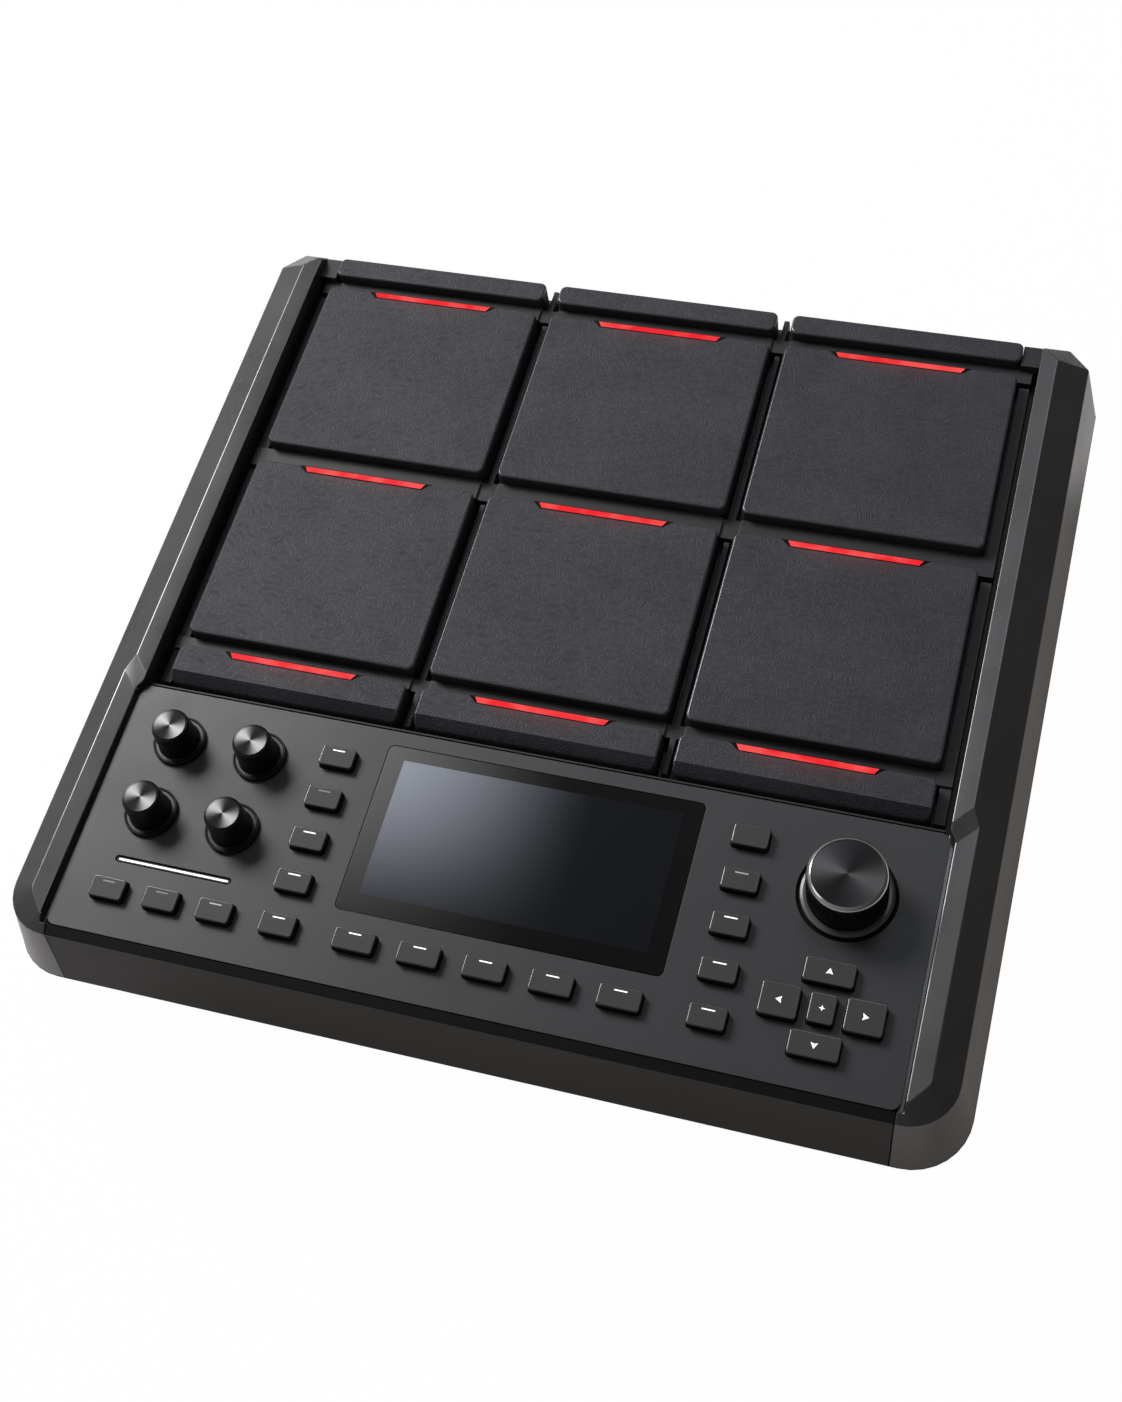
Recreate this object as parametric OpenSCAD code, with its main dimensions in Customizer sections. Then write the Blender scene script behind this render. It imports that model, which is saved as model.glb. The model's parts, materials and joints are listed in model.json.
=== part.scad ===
// Sampling percussion pad: rubber pads on a deck, a control panel in front, two side rails.
// Millimetres. +X is the player's right, +Y the rear, +Z up, and the feet stand on Z = 0.

/* [Pads] */
// Width of every pad
pad_w = 106.8; // [98:0.2:116]
// Depth of a large pad, front to back
pad_d = 95.6; // [86:0.2:106]
// Thickness of a large pad's rubber
pad_h = 12; // [10:0.5:14]
// Gap between the columns of pads
column_gap = 7.2; // [5:0.2:10]
// Gap between the two rows of large pads
row_gap = 10.8; // [8:0.2:14]
// Rounding of a pad's corners, seen from above
pad_corner_r = 3; // [2:0.5:4]
// Width of the rounded edge round a pad's top
pad_edge = 1.4; // [0.6:0.2:1.8]
// Depth of an upper bar pad
upper_bar_d = 10.8; // [9:0.2:16]
// Gap between the upper bars and the rear row
upper_gap = 8.2; // [6:0.2:12]
// How far the upper bars lie below the large pads
upper_bar_drop = 0.4; // [0:0.2:3]
// Depth of a lower bar pad with its sloping front
lower_bar_d = 17.8; // [14:0.2:24]
// Depth of a lower bar's sloping front
lower_bevel_d = 4.5; // [2:0.5:7]
// Drop of a lower bar's sloping front
lower_bevel_h = 5; // [2:0.5:7]
// Gap between the front row and the lower bars
lower_gap = 7; // [6:0.2:12]
// Thickness of the sensor sheet under each pad
sensor_t = 2; // [1:0.5:4]

/* [Light bars] */
// Length of a pad's light bar at its front edge
light_l = 56; // [40:0.5:80]
// Width of a light bar
light_w = 3.4; // [2:0.2:4]
// How far a light bar reaches in over its pad
light_reach = 2.8; // [1:0.1:3.2]
// How far a light bar's top lies below the pad's top
light_drop = 0.6; // [0.2:0.1:2]
// Length of the white status light
status_l = 51.4; // [30:0.2:60]
// Width of the white status light
status_w = 1.8; // [1.2:0.1:3]

/* [Deck] */
// Thickness of the pad deck
deck_t = 3; // [2:0.5:5]
// How far the cross bars lie below the pads' top
cross_drop = 6; // [5:0.5:9]
// Gap between a pad and the cross bar beside it
cross_clear = 0.2; // [0.1:0.1:0.6]
// Width of the ribs in the channels between the columns
rib_w = 2.6; // [1.6:0.1:3.4]
// How far the ribs lie below the cross bars
rib_drop = 1.2; // [0.4:0.1:2]
// Gap between the outer ribs and a side rail
rib_rail_gap = 2.6; // [1.6:0.1:4]

/* [Side rails and case] */
// Gap between the outer pads and a side rail
rail_gap = 8.6; // [6:0.2:12]
// Width of a rail's flat top
rail_top_w = 7.4; // [5:0.2:12]
// How far a rail's top slopes down to its inner edge
rail_tilt = 1.2; // [0:0.1:2]
// Width of a rail's outer chamfer
chamfer_w = 14.2; // [8:0.2:20]
// Height of a rail's outer chamfer
chamfer_h = 7.6; // [5:0.2:10]
// Height of the outer walls below the chamfer
wall_h = 32.4; // [30:0.2:44]
// How far a side wall leans out at its foot
wall_flare = 6.8; // [2:0.2:12]
// How far the front wall leans out at its foot
front_flare = 6.8; // [2:0.2:12]
// Height of the tub under the walls
tub_h = 34; // [26:0.5:44]
// How far the tub draws in at its floor
tub_inset = 30; // [16:1:40]
// Thickness of the case walls
case_wall = 3; // [2:0.5:4]
// Rounding of the front corners at the chamfer
corner_r = 20; // [12:1:26]
// Cut across the rear corners
rear_corner = 9.5; // [4:0.5:14]
// Slope of a rail's rear end at the ridge, front to back
rail_rear_d = 12.2; // [7:0.2:14]
// How far the rail steps out beside the control panel
rail_step = 2.7; // [1:0.1:4]
// How far the ridge moves out along the chamfer beside the panel
ridge_step = 3.4; // [1:0.1:5]
// Height of the pads' top below the ridge
pad_drop = 4; // [2:0.2:6]

/* [Control panel] */
// Depth of the panel plate
panel_d = 115.5; // [110:0.5:130]
// Thickness of the panel plate
panel_t = 2.5; // [2.2:0.1:3]
// Height of the panel below the ridge
panel_drop = 5.6; // [4.6:0.2:7]
// Gap between the plate and the side rails
panel_gap = 1.7; // [0.8:0.1:2.4]
// Rounding of the plate's corners
panel_corner_r = 4; // [3:0.5:10]
// Gap between the plate and the lower bars
bar_to_panel = 4.8; // [3:0.2:8]
// Width of the chamfer strip in front of the plate
strip_w = 4.5; // [3.5:0.1:6]

/* [Screen] */
// Width of the plate to the left of the glass
left_field_w = 118; // [115:0.5:124]
// Width of the plate to the right of the glass
right_field_w = 98.5; // [97:0.5:106]
// Distance from the plate's rear edge to the glass
screen_rear = 6.7; // [5:0.1:9]
// Gap between the glass and the keys in front of it
glass_to_keys = 8.5; // [6:0.1:12]
// Thickness of the screen glass
glass_t = 1.5; // [1:0.1:1.6]
// Rounding of the glass's corners
glass_r = 2.5; // [1:0.1:4]
// Width of the black border at each side of the picture
border_x = 8; // [6.5:0.25:14]
// Depth of the black border behind and in front of the picture
border_y = 7.25; // [6:0.25:12]

/* [Keys] */
// Width of a function key
key_w = 15; // [12:0.2:17]
// Depth of a function key
key_d = 9.3; // [7:0.1:11]
// Width of a key below the screen
wide_key_w = 17.4; // [14:0.2:20]
// Height of the keys above the panel
key_h = 3.8; // [2.5:0.1:6]
// Travel of a key
key_travel = 0.8; // [0.4:0.1:1]
// Gap between a key and its hole
key_clear = 0.35; // [0.25:0.05:0.5]
// Depth of a key below the screen
wide_key_d = 9; // [7:0.1:10]
// Distance from the plate's rear edge to the rearmost keys beside the screen
key_rear_y = 18.4; // [15:0.1:24]
// How much wider than the glass the row of keys below it is spread
row_spread = 0.5; // [0:0.5:6]
// Spacing of the keys under the knobs
mode_pitch = 24.1; // [20:0.1:26]
// Distance from the plate's front edge to the front row of keys
key_row_y = 19.3; // [16:0.1:20]
// Spacing of the navigation keys to the sides
nav_pitch_x = 16.55; // [15.5:0.05:18]
// Spacing of the navigation keys front to back
nav_pitch_y = 15.05; // [14.5:0.05:17]

/* [Knobs and dial] */
// Radius of a small knob at its top
knob_r = 8.1; // [6.5:0.1:8.5]
// Radius of a small knob's flared skirt
skirt_r = 11.6; // [10:0.1:13]
// Height of a small knob above the panel
knob_h = 16; // [12:0.5:22]
// Spacing of the knobs across
knob_pitch_x = 37.4; // [30:0.2:38]
// Distance from the plate's left edge to the first knobs
knob_edge_x = 26.6; // [22:0.2:30]
// Radius of a control's shaft
shaft_r = 3; // [2:0.1:3.2]
// Radius of the dial's knurled side
dial_r = 16.3; // [12:0.1:17]
// Radius of the dial's foot
dial_foot_r = 18; // [17:0.1:19]
// Height of the dial above the panel
dial_h = 20.6; // [14:0.2:26]
// Number of ridges round the dial
dial_ridges = 90; // [40:2:120]
// Radius of the well that the dial turns in
well_r = 20.2; // [19.2:0.1:22]
// Distance from the plate's right edge to the dial's middle
dial_edge_x = 35.4; // [32:0.2:38]

/* [Underside and sockets] */
// Height of the rubber feet
foot_h = 5; // [3:0.5:8]
// Radius of a rubber foot
foot_r = 10; // [6:0.5:13]
// Spacing of the stand inserts across
insert_x = 126; // [80:1:160]
// Spacing of the stand inserts front to back
insert_y = 72; // [50:1:120]
// Radius of a stand insert's threaded hole
insert_hole_r = 2.1; // [1.6:0.1:2.6]
// Radius of a phone jack's hole
jack_r = 3.2; // [3.1:0.05:3.4]
// Spacing of the phone jacks
jack_pitch = 22; // [18:1:26]

/* [Hidden] */
$fn = 48;
hull_fn = 32;
skin = 0.01;
over = 1;

// Heights
tub_floor_z = foot_h;
wall_foot_z = tub_floor_z + tub_h;
chamfer_z = wall_foot_z + wall_h;
ridge_z = chamfer_z + chamfer_h;
pad_top_z = ridge_z - pad_drop;
pad_z = pad_top_z - pad_h;
deck_z = pad_z - sensor_t;
cross_z = pad_top_z - cross_drop;
panel_z = ridge_z - panel_drop;
panel_under_z = panel_z - panel_t;
inner_floor_z = tub_floor_z + case_wall;
ridge_2_z = ridge_z - ridge_step * chamfer_h / chamfer_w;

// Places across
pad_pitch = pad_w + column_gap;
pads_half_w = 1.5 * pad_w + column_gap;
rail_x = pads_half_w + rail_gap;
rail_2_x = rail_x + rail_step;
ridge_x = rail_x + rail_top_w;
chamfer_x = ridge_x + chamfer_w;
wall_x = chamfer_x + wall_flare;
far = 2 * wall_x;
seam_gap = 0.4;
deck_side_gap = 0.3;
panel_w = 2 * (rail_2_x - panel_gap);

// Places front to back, worked out from the front foot of the case
rear_margin = 1;
body_d = front_flare + strip_w + panel_d + bar_to_panel + lower_bar_d + lower_gap
  + 2 * pad_d + row_gap + upper_gap + upper_bar_d + rear_margin;
front_y = -body_d / 2;
rear_y = body_d / 2;
chamfer_front_y = front_y + front_flare;
panel_front_y = chamfer_front_y + strip_w;
panel_rear_y = panel_front_y + panel_d;
panel_mid_y = (panel_front_y + panel_rear_y) / 2;
lower_bar_y = panel_rear_y + bar_to_panel;
row_2_y = lower_bar_y + lower_bar_d + lower_gap;
row_1_y = row_2_y + pad_d + row_gap;
upper_bar_y = row_1_y + pad_d + upper_gap;
pad_row_y = [row_1_y, row_2_y];
light_edge_y = [row_1_y + pad_d, row_2_y + pad_d, lower_bar_y + lower_bar_d];
row_gaps = [[lower_bar_y + lower_bar_d, row_2_y], [row_2_y + pad_d, row_1_y],
  [row_1_y + pad_d, upper_bar_y]];

// The low grid round the pads
rib_side_gap = 1;
side_rib_w = rail_gap - rib_rail_gap - rib_side_gap;
rib_slot = 1.8;
bar_in = 0.5;

// Rails: plan of the ridge and the step beside the panel
ridge_rear_y = rear_y - rail_rear_d;
ridge_rear_skew = 5.6;
ridge_front_in = 10.9;
ridge_front_y = chamfer_front_y + ridge_front_in;
ridge_cut_x = 9;
ridge_cut_y = 7.5;
foot_corner_more = 5;
foot_corner_r = corner_r + foot_corner_more;
step_behind = 11.4;
step_y = panel_rear_y + step_behind;
step_skew = 18;
step_d = 8.5;
bend_behind = 1;
bend_y = panel_rear_y + bend_behind;
bend_d = 5;
bend_steps = 8;
ledge_w = 4;
ledge_t = 3;
deck_lip_gap = 1;
strip_below = 0.2;

// Screen: the glass takes what the fields beside it and the keys in front of it leave
glass_w = panel_w - left_field_w - right_field_w;
glass_d = panel_d - screen_rear - glass_to_keys - wide_key_d / 2 - key_row_y;
glass_clear = 0.2;
glass_seat = 0.1;
screen_x = (left_field_w - right_field_w) / 2;
glass_mid_y = panel_rear_y - screen_rear - glass_d / 2;
display_w = glass_w - 2 * border_x;
display_d = glass_d - 2 * border_y;
display_shift = 1.2;
display_r = 1;
window_margin = 1.2;
display_t = 5;
display_frame = 3.2;

// Columns and rows of keys
key_front_y = panel_front_y + key_row_y;
column_pitch = (panel_d - key_row_y - key_rear_y) / 4;
row_pitch = (glass_w + row_spread) / 5;
mode_edge_x = 22.2;
mode_key_x = -panel_w / 2 + mode_edge_x;
left_key_gap = 19.6;
left_key_x = -panel_w / 2 + left_field_w - left_key_gap;
right_key_gap = 21.2;
right_key_x = panel_w / 2 - right_field_w + right_key_gap;

// Knob field: its free depth is shared out behind, between and in front of the knobs
status_gap = 0.6;
status_sink = 0.5;
knob_shares = [12.5, 11.4, 10.3, 9.15];
knob_free_d = panel_d - key_row_y - key_d / 2 - 4 * skirt_r - status_w;
function knob_share(i) = knob_free_d * knob_shares[i] / (knob_shares * [1, 1, 1, 1]);
knob_pitch_y = 2 * skirt_r + knob_share(1);
knob_row_y = panel_rear_y - knob_share(0) - skirt_r;
status_y = knob_row_y - knob_pitch_y - skirt_r - knob_share(2) - status_w / 2;

// Dial field: its free depth is shared out behind the dial, in front of it and before the keys
nav_wide_w = 20;
nav_wide_d = 10;
nav_tall_w = 15.2;
nav_tall_d = 13.6;
nav_mid_w = 10.3;
nav_mid_d = 12.3;
dial_shares = [13.7, 9.35, 11.95];
dial_free_d = panel_d - 2 * well_r - 2 * nav_pitch_y - nav_wide_d;
function dial_share(i) = dial_free_d * dial_shares[i] / (dial_shares * [1, 1, 1]);
dial_x = panel_w / 2 - dial_edge_x;
dial_y = panel_rear_y - dial_share(0) - well_r;
nav_y = panel_front_y + dial_share(2) + nav_wide_d / 2 + nav_pitch_y;

// Keys and switches
key_corner_r = 1.4;
key_edge = 0.8;
key_lip = 0.8;
lip_t = 1;
lip_gap = 0.3;
lip_z = panel_under_z - lip_gap - lip_t;
switch_gap = 0.1;
switch_top_z = lip_z - key_travel - switch_gap;
switch_w = 6;
plunger_r = 1.7;
plunger_h = 1;
switch_h = 3.7;
board_t = 1.6;
panel_board_z = switch_top_z - switch_h - board_t;
panel_board_top_z = panel_board_z + board_t;
board_edge = 7;
board_post_r = 3;
board_post_in_x = 12;
board_post_in_y = 10;

// Knobs, dial and the controls that carry them
running_gap = 0.05;
turn_gap = 0.3;
bush_wall = 0.7;
bush_r = shaft_r + bush_wall;
bush_top = 1;
bush_clear = 0.2;
hub_r = 6;
hub_gap = 0.6;
skirt_h = 1.2;
rim_h = 1.8;
rim_w = 1.3;
rim_edge = 0.5;
knob_flare = 0.9;
knob_foot_r = min(knob_r + knob_flare, skirt_r - rim_w);
knob_top_edge = 0.6;
cap_inset = 0.9;
cap_seat = 0.5;
cap_t = 1.1;
cap_clear = 0.05;
pot_w = 12;
pot_d = 13;
pot_h = 4.5;
shaft_end = 1.2;
well_depth = 1.2;
well_gap = 0.4;
dial_foot_h = 1.5;
dial_foot_edge = 1;
dial_cap_t = 2.2;
dial_cap_chamfer = 1.5;
dial_ridge_h = 0.45;

// Underside
foot_spigot_r = 3;
foot_spigot_h = case_wall - 1;
spigot_clear = 0.05;
foot_in = 24;
foot_edge = 1;
post_r = 5;
post_in_x = 17.4;
post_x = pads_half_w - post_in_x;
post_front = 12.8;
post_mid = 7.8;
post_rear = 41.4;
post_y = [row_2_y + post_front, row_2_y + pad_d - post_mid, row_1_y + post_rear];
screw_r = 1.25;
screw_hole_r = 1.7;
pilot_clear = 0.05;
screw_head_r = 3;
screw_head_h = case_wall / 2;
head_clear = 0.2;
screw_l = 16;
insert_r = 3.5;
insert_h = 8;
insert_clear = 0.02;
insert_boss_r = 6.5;

// Rear sockets
rear_wall_t = 2 * case_wall;
bay_face_y = rear_y - case_wall;
bay_inner_y = rear_y - rear_wall_t;
jack_body_r = 7;
jack_deck_gap = 2;
socket_z = deck_z - deck_t - jack_deck_gap - jack_body_r;
bay_half_h = 6.6;
bay_margin = 12;
board_end_gap = 6;
main_board_half_w = post_x - post_r - board_end_gap;
power_from_end = 37;
power_x = -main_board_half_w + power_from_end;
power_to_jack = 32;
jack_x0 = power_x + power_to_jack;
jack_count = 6;
jack_bush_r = 5;
jack_body_l = 16;
jack_depth = 15;
jack_lip = 0.5;
socket_clear = 0.1;
usb_extra = 4;
usb_x = jack_x0 + jack_count * jack_pitch + usb_extra;
usb_w = 8.4;
usb_h = 7.8;
usb_wall = 0.6;
usb_body = [13, 16, 12];
tongue = [5.6, 2];
power_in_x = usb_x + jack_pitch;
power_in_r = 3.1;
power_in_bush_r = 4.6;
power_pin_r = 1;
pin_set_back = 5.2;
power_r = 4.4;
power_clear = 0.4;
power_out = 2.2;
power_travel = 1.5;
power_lip_r = 6;
jack_board_gap = 0.2;
main_board_top_z = socket_z - jack_body_r - jack_board_gap;
main_board_z = main_board_top_z - board_t;
main_board_d = 120;
board_wall_gap = 1;
main_board_rear_y = bay_inner_y - board_wall_gap;
standoff_r = 3.5;
standoff_in = 9;
standoff_wall_gap = 4;
standoff_y = [main_board_rear_y - main_board_d + standoff_in,
  rear_y - tub_inset - case_wall - standoff_r - standoff_wall_gap];

function pad_x(c) = (c - 1) * pad_pitch;
function knob_x(i) = -panel_w / 2 + knob_edge_x + (i % 2) * knob_pitch_x;
function knob_y(i) = knob_row_y - floor(i / 2) * knob_pitch_y;
function column_key_y(i) = key_front_y + (4 - i) * column_pitch;

// Every key as [x, y, width, depth]
mode_keys = [for (i = [0:2]) [mode_key_x + i * mode_pitch, key_front_y, key_w, key_d]];
left_keys = [for (i = [0:4]) [left_key_x, column_key_y(i), key_w, key_d]];
screen_keys = [for (i = [0:4]) [screen_x + (i - 2) * row_pitch, key_front_y, wide_key_w, wide_key_d]];
right_keys = [for (i = [0:4]) [right_key_x, column_key_y(i), key_w, key_d]];
nav_keys = [
  [dial_x, nav_y + nav_pitch_y, nav_wide_w, nav_wide_d],
  [dial_x - nav_pitch_x, nav_y, nav_tall_w, nav_tall_d],
  [dial_x, nav_y, nav_mid_w, nav_mid_d],
  [dial_x + nav_pitch_x, nav_y, nav_tall_w, nav_tall_d],
  [dial_x, nav_y - nav_pitch_y, nav_wide_w, nav_wide_d]];
all_keys = concat(mode_keys, left_keys, screen_keys, right_keys, nav_keys);
foot_places = [for (sx = [-1, 1], sy = [-1, 1])
  [sx * (wall_x - tub_inset - foot_in), sy * (rear_y - tub_inset - foot_in)]];
post_places = [for (sx = [-1, 1], y = post_y) [sx * post_x, y]];
insert_places = [for (sx = [-1, 1], sy = [-1, 1]) [sx * insert_x / 2, sy * insert_y / 2]];

// A rectangle with round corners, about its middle
module rounded(w, d, r, fn = $fn) {
  square([w - 2 * r, d], center = true);
  square([w, d - 2 * r], center = true);
  for (sx = [-1, 1], sy = [-1, 1])
    translate([sx * (w / 2 - r), sy * (d / 2 - r)]) circle(r, $fn = fn);
}

// A slot with round ends, about its middle
module slot(l, w) {
  square([l - w, w], center = true);
  for (s = [-1, 1]) translate([s * (l - w) / 2, 0]) circle(w / 2);
}

// A slab whose upper edge is rounded over in two facets
module soft_slab(w, d, h, r, edge) {
  third = edge * 0.3;
  small_r = max(r - edge, r * 0.3);
  hull() {
    linear_extrude(h - edge) rounded(w, d, r, hull_fn);
    linear_extrude(h - third) rounded(w - 2 * third, d - 2 * third, r - third, hull_fn);
    linear_extrude(h) rounded(w - 2 * edge, d - 2 * edge, small_r, hull_fn);
  }
}

// Plan of the case at one height: round front corners, cut rear corners
module case_plan(half_w, front, rear, r, cut) {
  for (s = [-1, 1]) translate([s * (half_w - r), front + r]) circle(r, $fn = hull_fn);
  polygon([[half_w, rear - cut], [half_w - cut, rear], [cut - half_w, rear], [-half_w, rear - cut]]);
}

// Plan of the ridge, with its front corners cut across
module ridge_plan(in) {
  x = ridge_x - in;
  inner_x = rail_x - in;
  front = ridge_front_y + in;
  rear = ridge_rear_y - in;
  polygon([[x, rear], [inner_x, rear + ridge_rear_skew], [-inner_x, rear + ridge_rear_skew], [-x, rear],
    [-x, front + ridge_cut_y], [ridge_cut_x - x, front], [x - ridge_cut_x, front], [x, front + ridge_cut_y]]);
}

// Outside of the case above the tub, drawn in by a wall thickness
module upper_form(in) {
  hull() {
    translate([0, 0, wall_foot_z - min(in, skin)]) linear_extrude(skin)
      case_plan(wall_x - in, front_y + in, rear_y - in, foot_corner_r, rear_corner);
    translate([0, 0, chamfer_z - in]) linear_extrude(skin)
      case_plan(chamfer_x - in, chamfer_front_y + in, rear_y - in, corner_r, rear_corner);
    translate([0, 0, ridge_z - in - skin]) linear_extrude(skin) ridge_plan(in);
  }
}

// The tub under the walls, drawn in by a wall thickness
module tub_form(in) {
  hull() {
    translate([0, 0, wall_foot_z - skin + min(in, skin)]) linear_extrude(skin)
      case_plan(wall_x - in, front_y + in, rear_y - in, foot_corner_r, rear_corner);
    translate([0, 0, tub_floor_z + in]) linear_extrude(skin)
      case_plan(wall_x - tub_inset - in, front_y + tub_inset + in, rear_y - tub_inset - in,
        foot_corner_r, rear_corner);
  }
}

// A shape drawn in Y and Z, run across the case between the side rails
module across(half_w) {
  rotate([90, 0, 90]) translate([0, 0, -half_w]) linear_extrude(2 * half_w) children();
}

// A cylinder along +Y that starts at y
module along_y(x, y, z, r, l) {
  translate([x, y, z]) rotate([-90, 0, 0]) cylinder(r = r, h = l);
}

module front_wall() {
  strip_top_z = panel_z - strip_below;
  strip_slope = (strip_top_z - chamfer_z) / strip_w;
  out_y = front_y - over;
  ledge_y = panel_front_y + ledge_w;
  ledge_under_z = panel_under_z - ledge_t;
  wall_in_y = chamfer_front_y + case_wall;
  intersection() {
    upper_form(0);
    across(rail_x - seam_gap) polygon([
      [out_y, wall_foot_z], [out_y, strip_top_z - (panel_front_y - out_y) * strip_slope],
      [panel_front_y - seam_gap, strip_top_z], [panel_front_y - seam_gap, panel_under_z],
      [ledge_y, panel_under_z], [ledge_y, ledge_under_z],
      [wall_in_y, ledge_under_z], [front_y + case_wall, wall_foot_z]]);
  }
}

module rear_wall() {
  difference() {
    across(rail_x - seam_gap) polygon([
      [bay_inner_y, wall_foot_z], [rear_y, wall_foot_z],
      [rear_y, deck_z - deck_t], [bay_inner_y, deck_z - deck_t]]);
    translate([power_x - bay_margin, bay_face_y, socket_z - bay_half_h])
      cube([power_in_x - power_x + 2 * bay_margin, case_wall + over, 2 * bay_half_h]);
    for (i = [0:jack_count - 1])
      along_y(jack_x0 + i * jack_pitch, bay_inner_y - over, socket_z, jack_bush_r + socket_clear,
        rear_wall_t + 2 * over);
    along_y(power_in_x, bay_inner_y - over, socket_z, power_in_bush_r + socket_clear,
      rear_wall_t + 2 * over);
    along_y(power_x, bay_inner_y - over, socket_z, power_r + power_clear, rear_wall_t + 2 * over);
    translate([usb_x, rear_y, socket_z])
      cube([usb_w + 2 * (usb_wall + socket_clear), 2 * (rear_wall_t + over),
        usb_h + 2 * (usb_wall + socket_clear)], center = true);
  }
}

module bottom_case() {
  color([0.13, 0.12, 0.12])
  difference() {
    union() {
      difference() {
        tub_form(0);
        tub_form(case_wall);
      }
      front_wall();
      rear_wall();
      for (p = insert_places)
        translate([p[0], p[1], tub_floor_z]) cylinder(r = insert_boss_r, h = insert_h + case_wall);
      for (sx = [-1, 1], y = standoff_y)
        translate([sx * (main_board_half_w - standoff_in), y, tub_floor_z])
          cylinder(r = standoff_r, h = main_board_z - tub_floor_z);
    }
    for (p = insert_places)
      translate([p[0], p[1], tub_floor_z - over]) cylinder(r = insert_r, h = insert_h + over);
    for (p = foot_places)
      translate([p[0], p[1], tub_floor_z - over])
        cylinder(r = foot_spigot_r + spigot_clear, h = foot_spigot_h + over);
    for (p = post_places) {
      translate([p[0], p[1], tub_floor_z - over]) cylinder(r = screw_hole_r, h = case_wall + 2 * over);
      translate([p[0], p[1], tub_floor_z - over])
        cylinder(r = screw_head_r + head_clear, h = screw_head_h + over);
    }
  }
}

// The end section of a rail, drawn in X and Z and run from y to y + l
module rail_run(y, l) {
  translate([0, y + l, 0]) rotate([90, 0, 0]) linear_extrude(l) children();
}

module right_rail_form() {
  full_l = body_d + 2 * over;
  start_y = front_y - over;
  // Below the panel's underside the rail reaches in to the seam
  rail_run(start_y, full_l) polygon([[rail_x, wall_foot_z], [far, wall_foot_z],
    [far, panel_under_z], [rail_x, panel_under_z]]);
  // Beside the panel
  rail_run(start_y, full_l) polygon([[rail_2_x, wall_foot_z], [far, wall_foot_z], [far, ridge_2_z],
    [ridge_x + ridge_step, ridge_2_z], [rail_2_x, ridge_2_z - rail_tilt]]);
  // Beside the pads: the inner edge bends in to the seam, and the higher top ends in a skewed slope
  in_slope = rail_tilt / (ridge_x + ridge_step - rail_2_x);
  step_lean = atan2(step_d, ridge_z - ridge_2_z);
  intersection() {
    translate([0, 0, wall_foot_z]) linear_extrude(ridge_z - wall_foot_z) polygon(concat(
      [for (k = [0:bend_steps]) [rail_x + rail_step * (1 - cos(180 * k / bend_steps)) / 2,
        bend_y - bend_d * k / bend_steps]],
      [[far, bend_y - bend_d], [far, rear_y + over], [rail_x, rear_y + over]]));
    union() {
      rail_run(start_y, full_l) polygon([[rail_x, wall_foot_z], [far, wall_foot_z], [far, ridge_2_z],
        [ridge_x + ridge_step, ridge_2_z], [rail_x, ridge_2_z - rail_tilt - rail_step * in_slope]]);
      intersection() {
        rail_run(start_y, full_l) polygon([[rail_x, wall_foot_z], [far, wall_foot_z], [far, ridge_z],
          [ridge_x, ridge_z], [rail_x, ridge_z - rail_tilt]]);
        translate([ridge_x, step_y, ridge_z]) rotate([0, 0, step_skew]) rotate([-step_lean, 0, 0])
          translate([-far, 0, -far]) cube([2 * far, 2 * far, 2 * far]);
      }
    }
  }
  // Round the front end, in front of the plate
  rail_run(start_y, panel_front_y - seam_gap - start_y) polygon([[rail_x, wall_foot_z],
    [far, wall_foot_z], [far, ridge_2_z], [rail_x, ridge_2_z - rail_tilt]]);
  // Ledge under the side edge of the plate
  translate([rail_x - ledge_w, panel_front_y + ledge_w, panel_under_z - ledge_t])
    cube([ledge_w + over, panel_d - 3 * ledge_w, ledge_t]);
}

module side_rail() {
  cavity_x = rail_x + case_wall;
  difference() {
    intersection() {
      upper_form(0);
      right_rail_form();
    }
    intersection() {
      upper_form(case_wall);
      translate([cavity_x, front_y, wall_foot_z - over])
        cube([far, body_d, panel_under_z - ledge_t - wall_foot_z + over]);
    }
  }
}

module right_side_rail() {
  color([0.17, 0.17, 0.18]) side_rail();
}

module left_side_rail() {
  color([0.17, 0.17, 0.18]) mirror([1, 0, 0]) side_rail();
}

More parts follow.
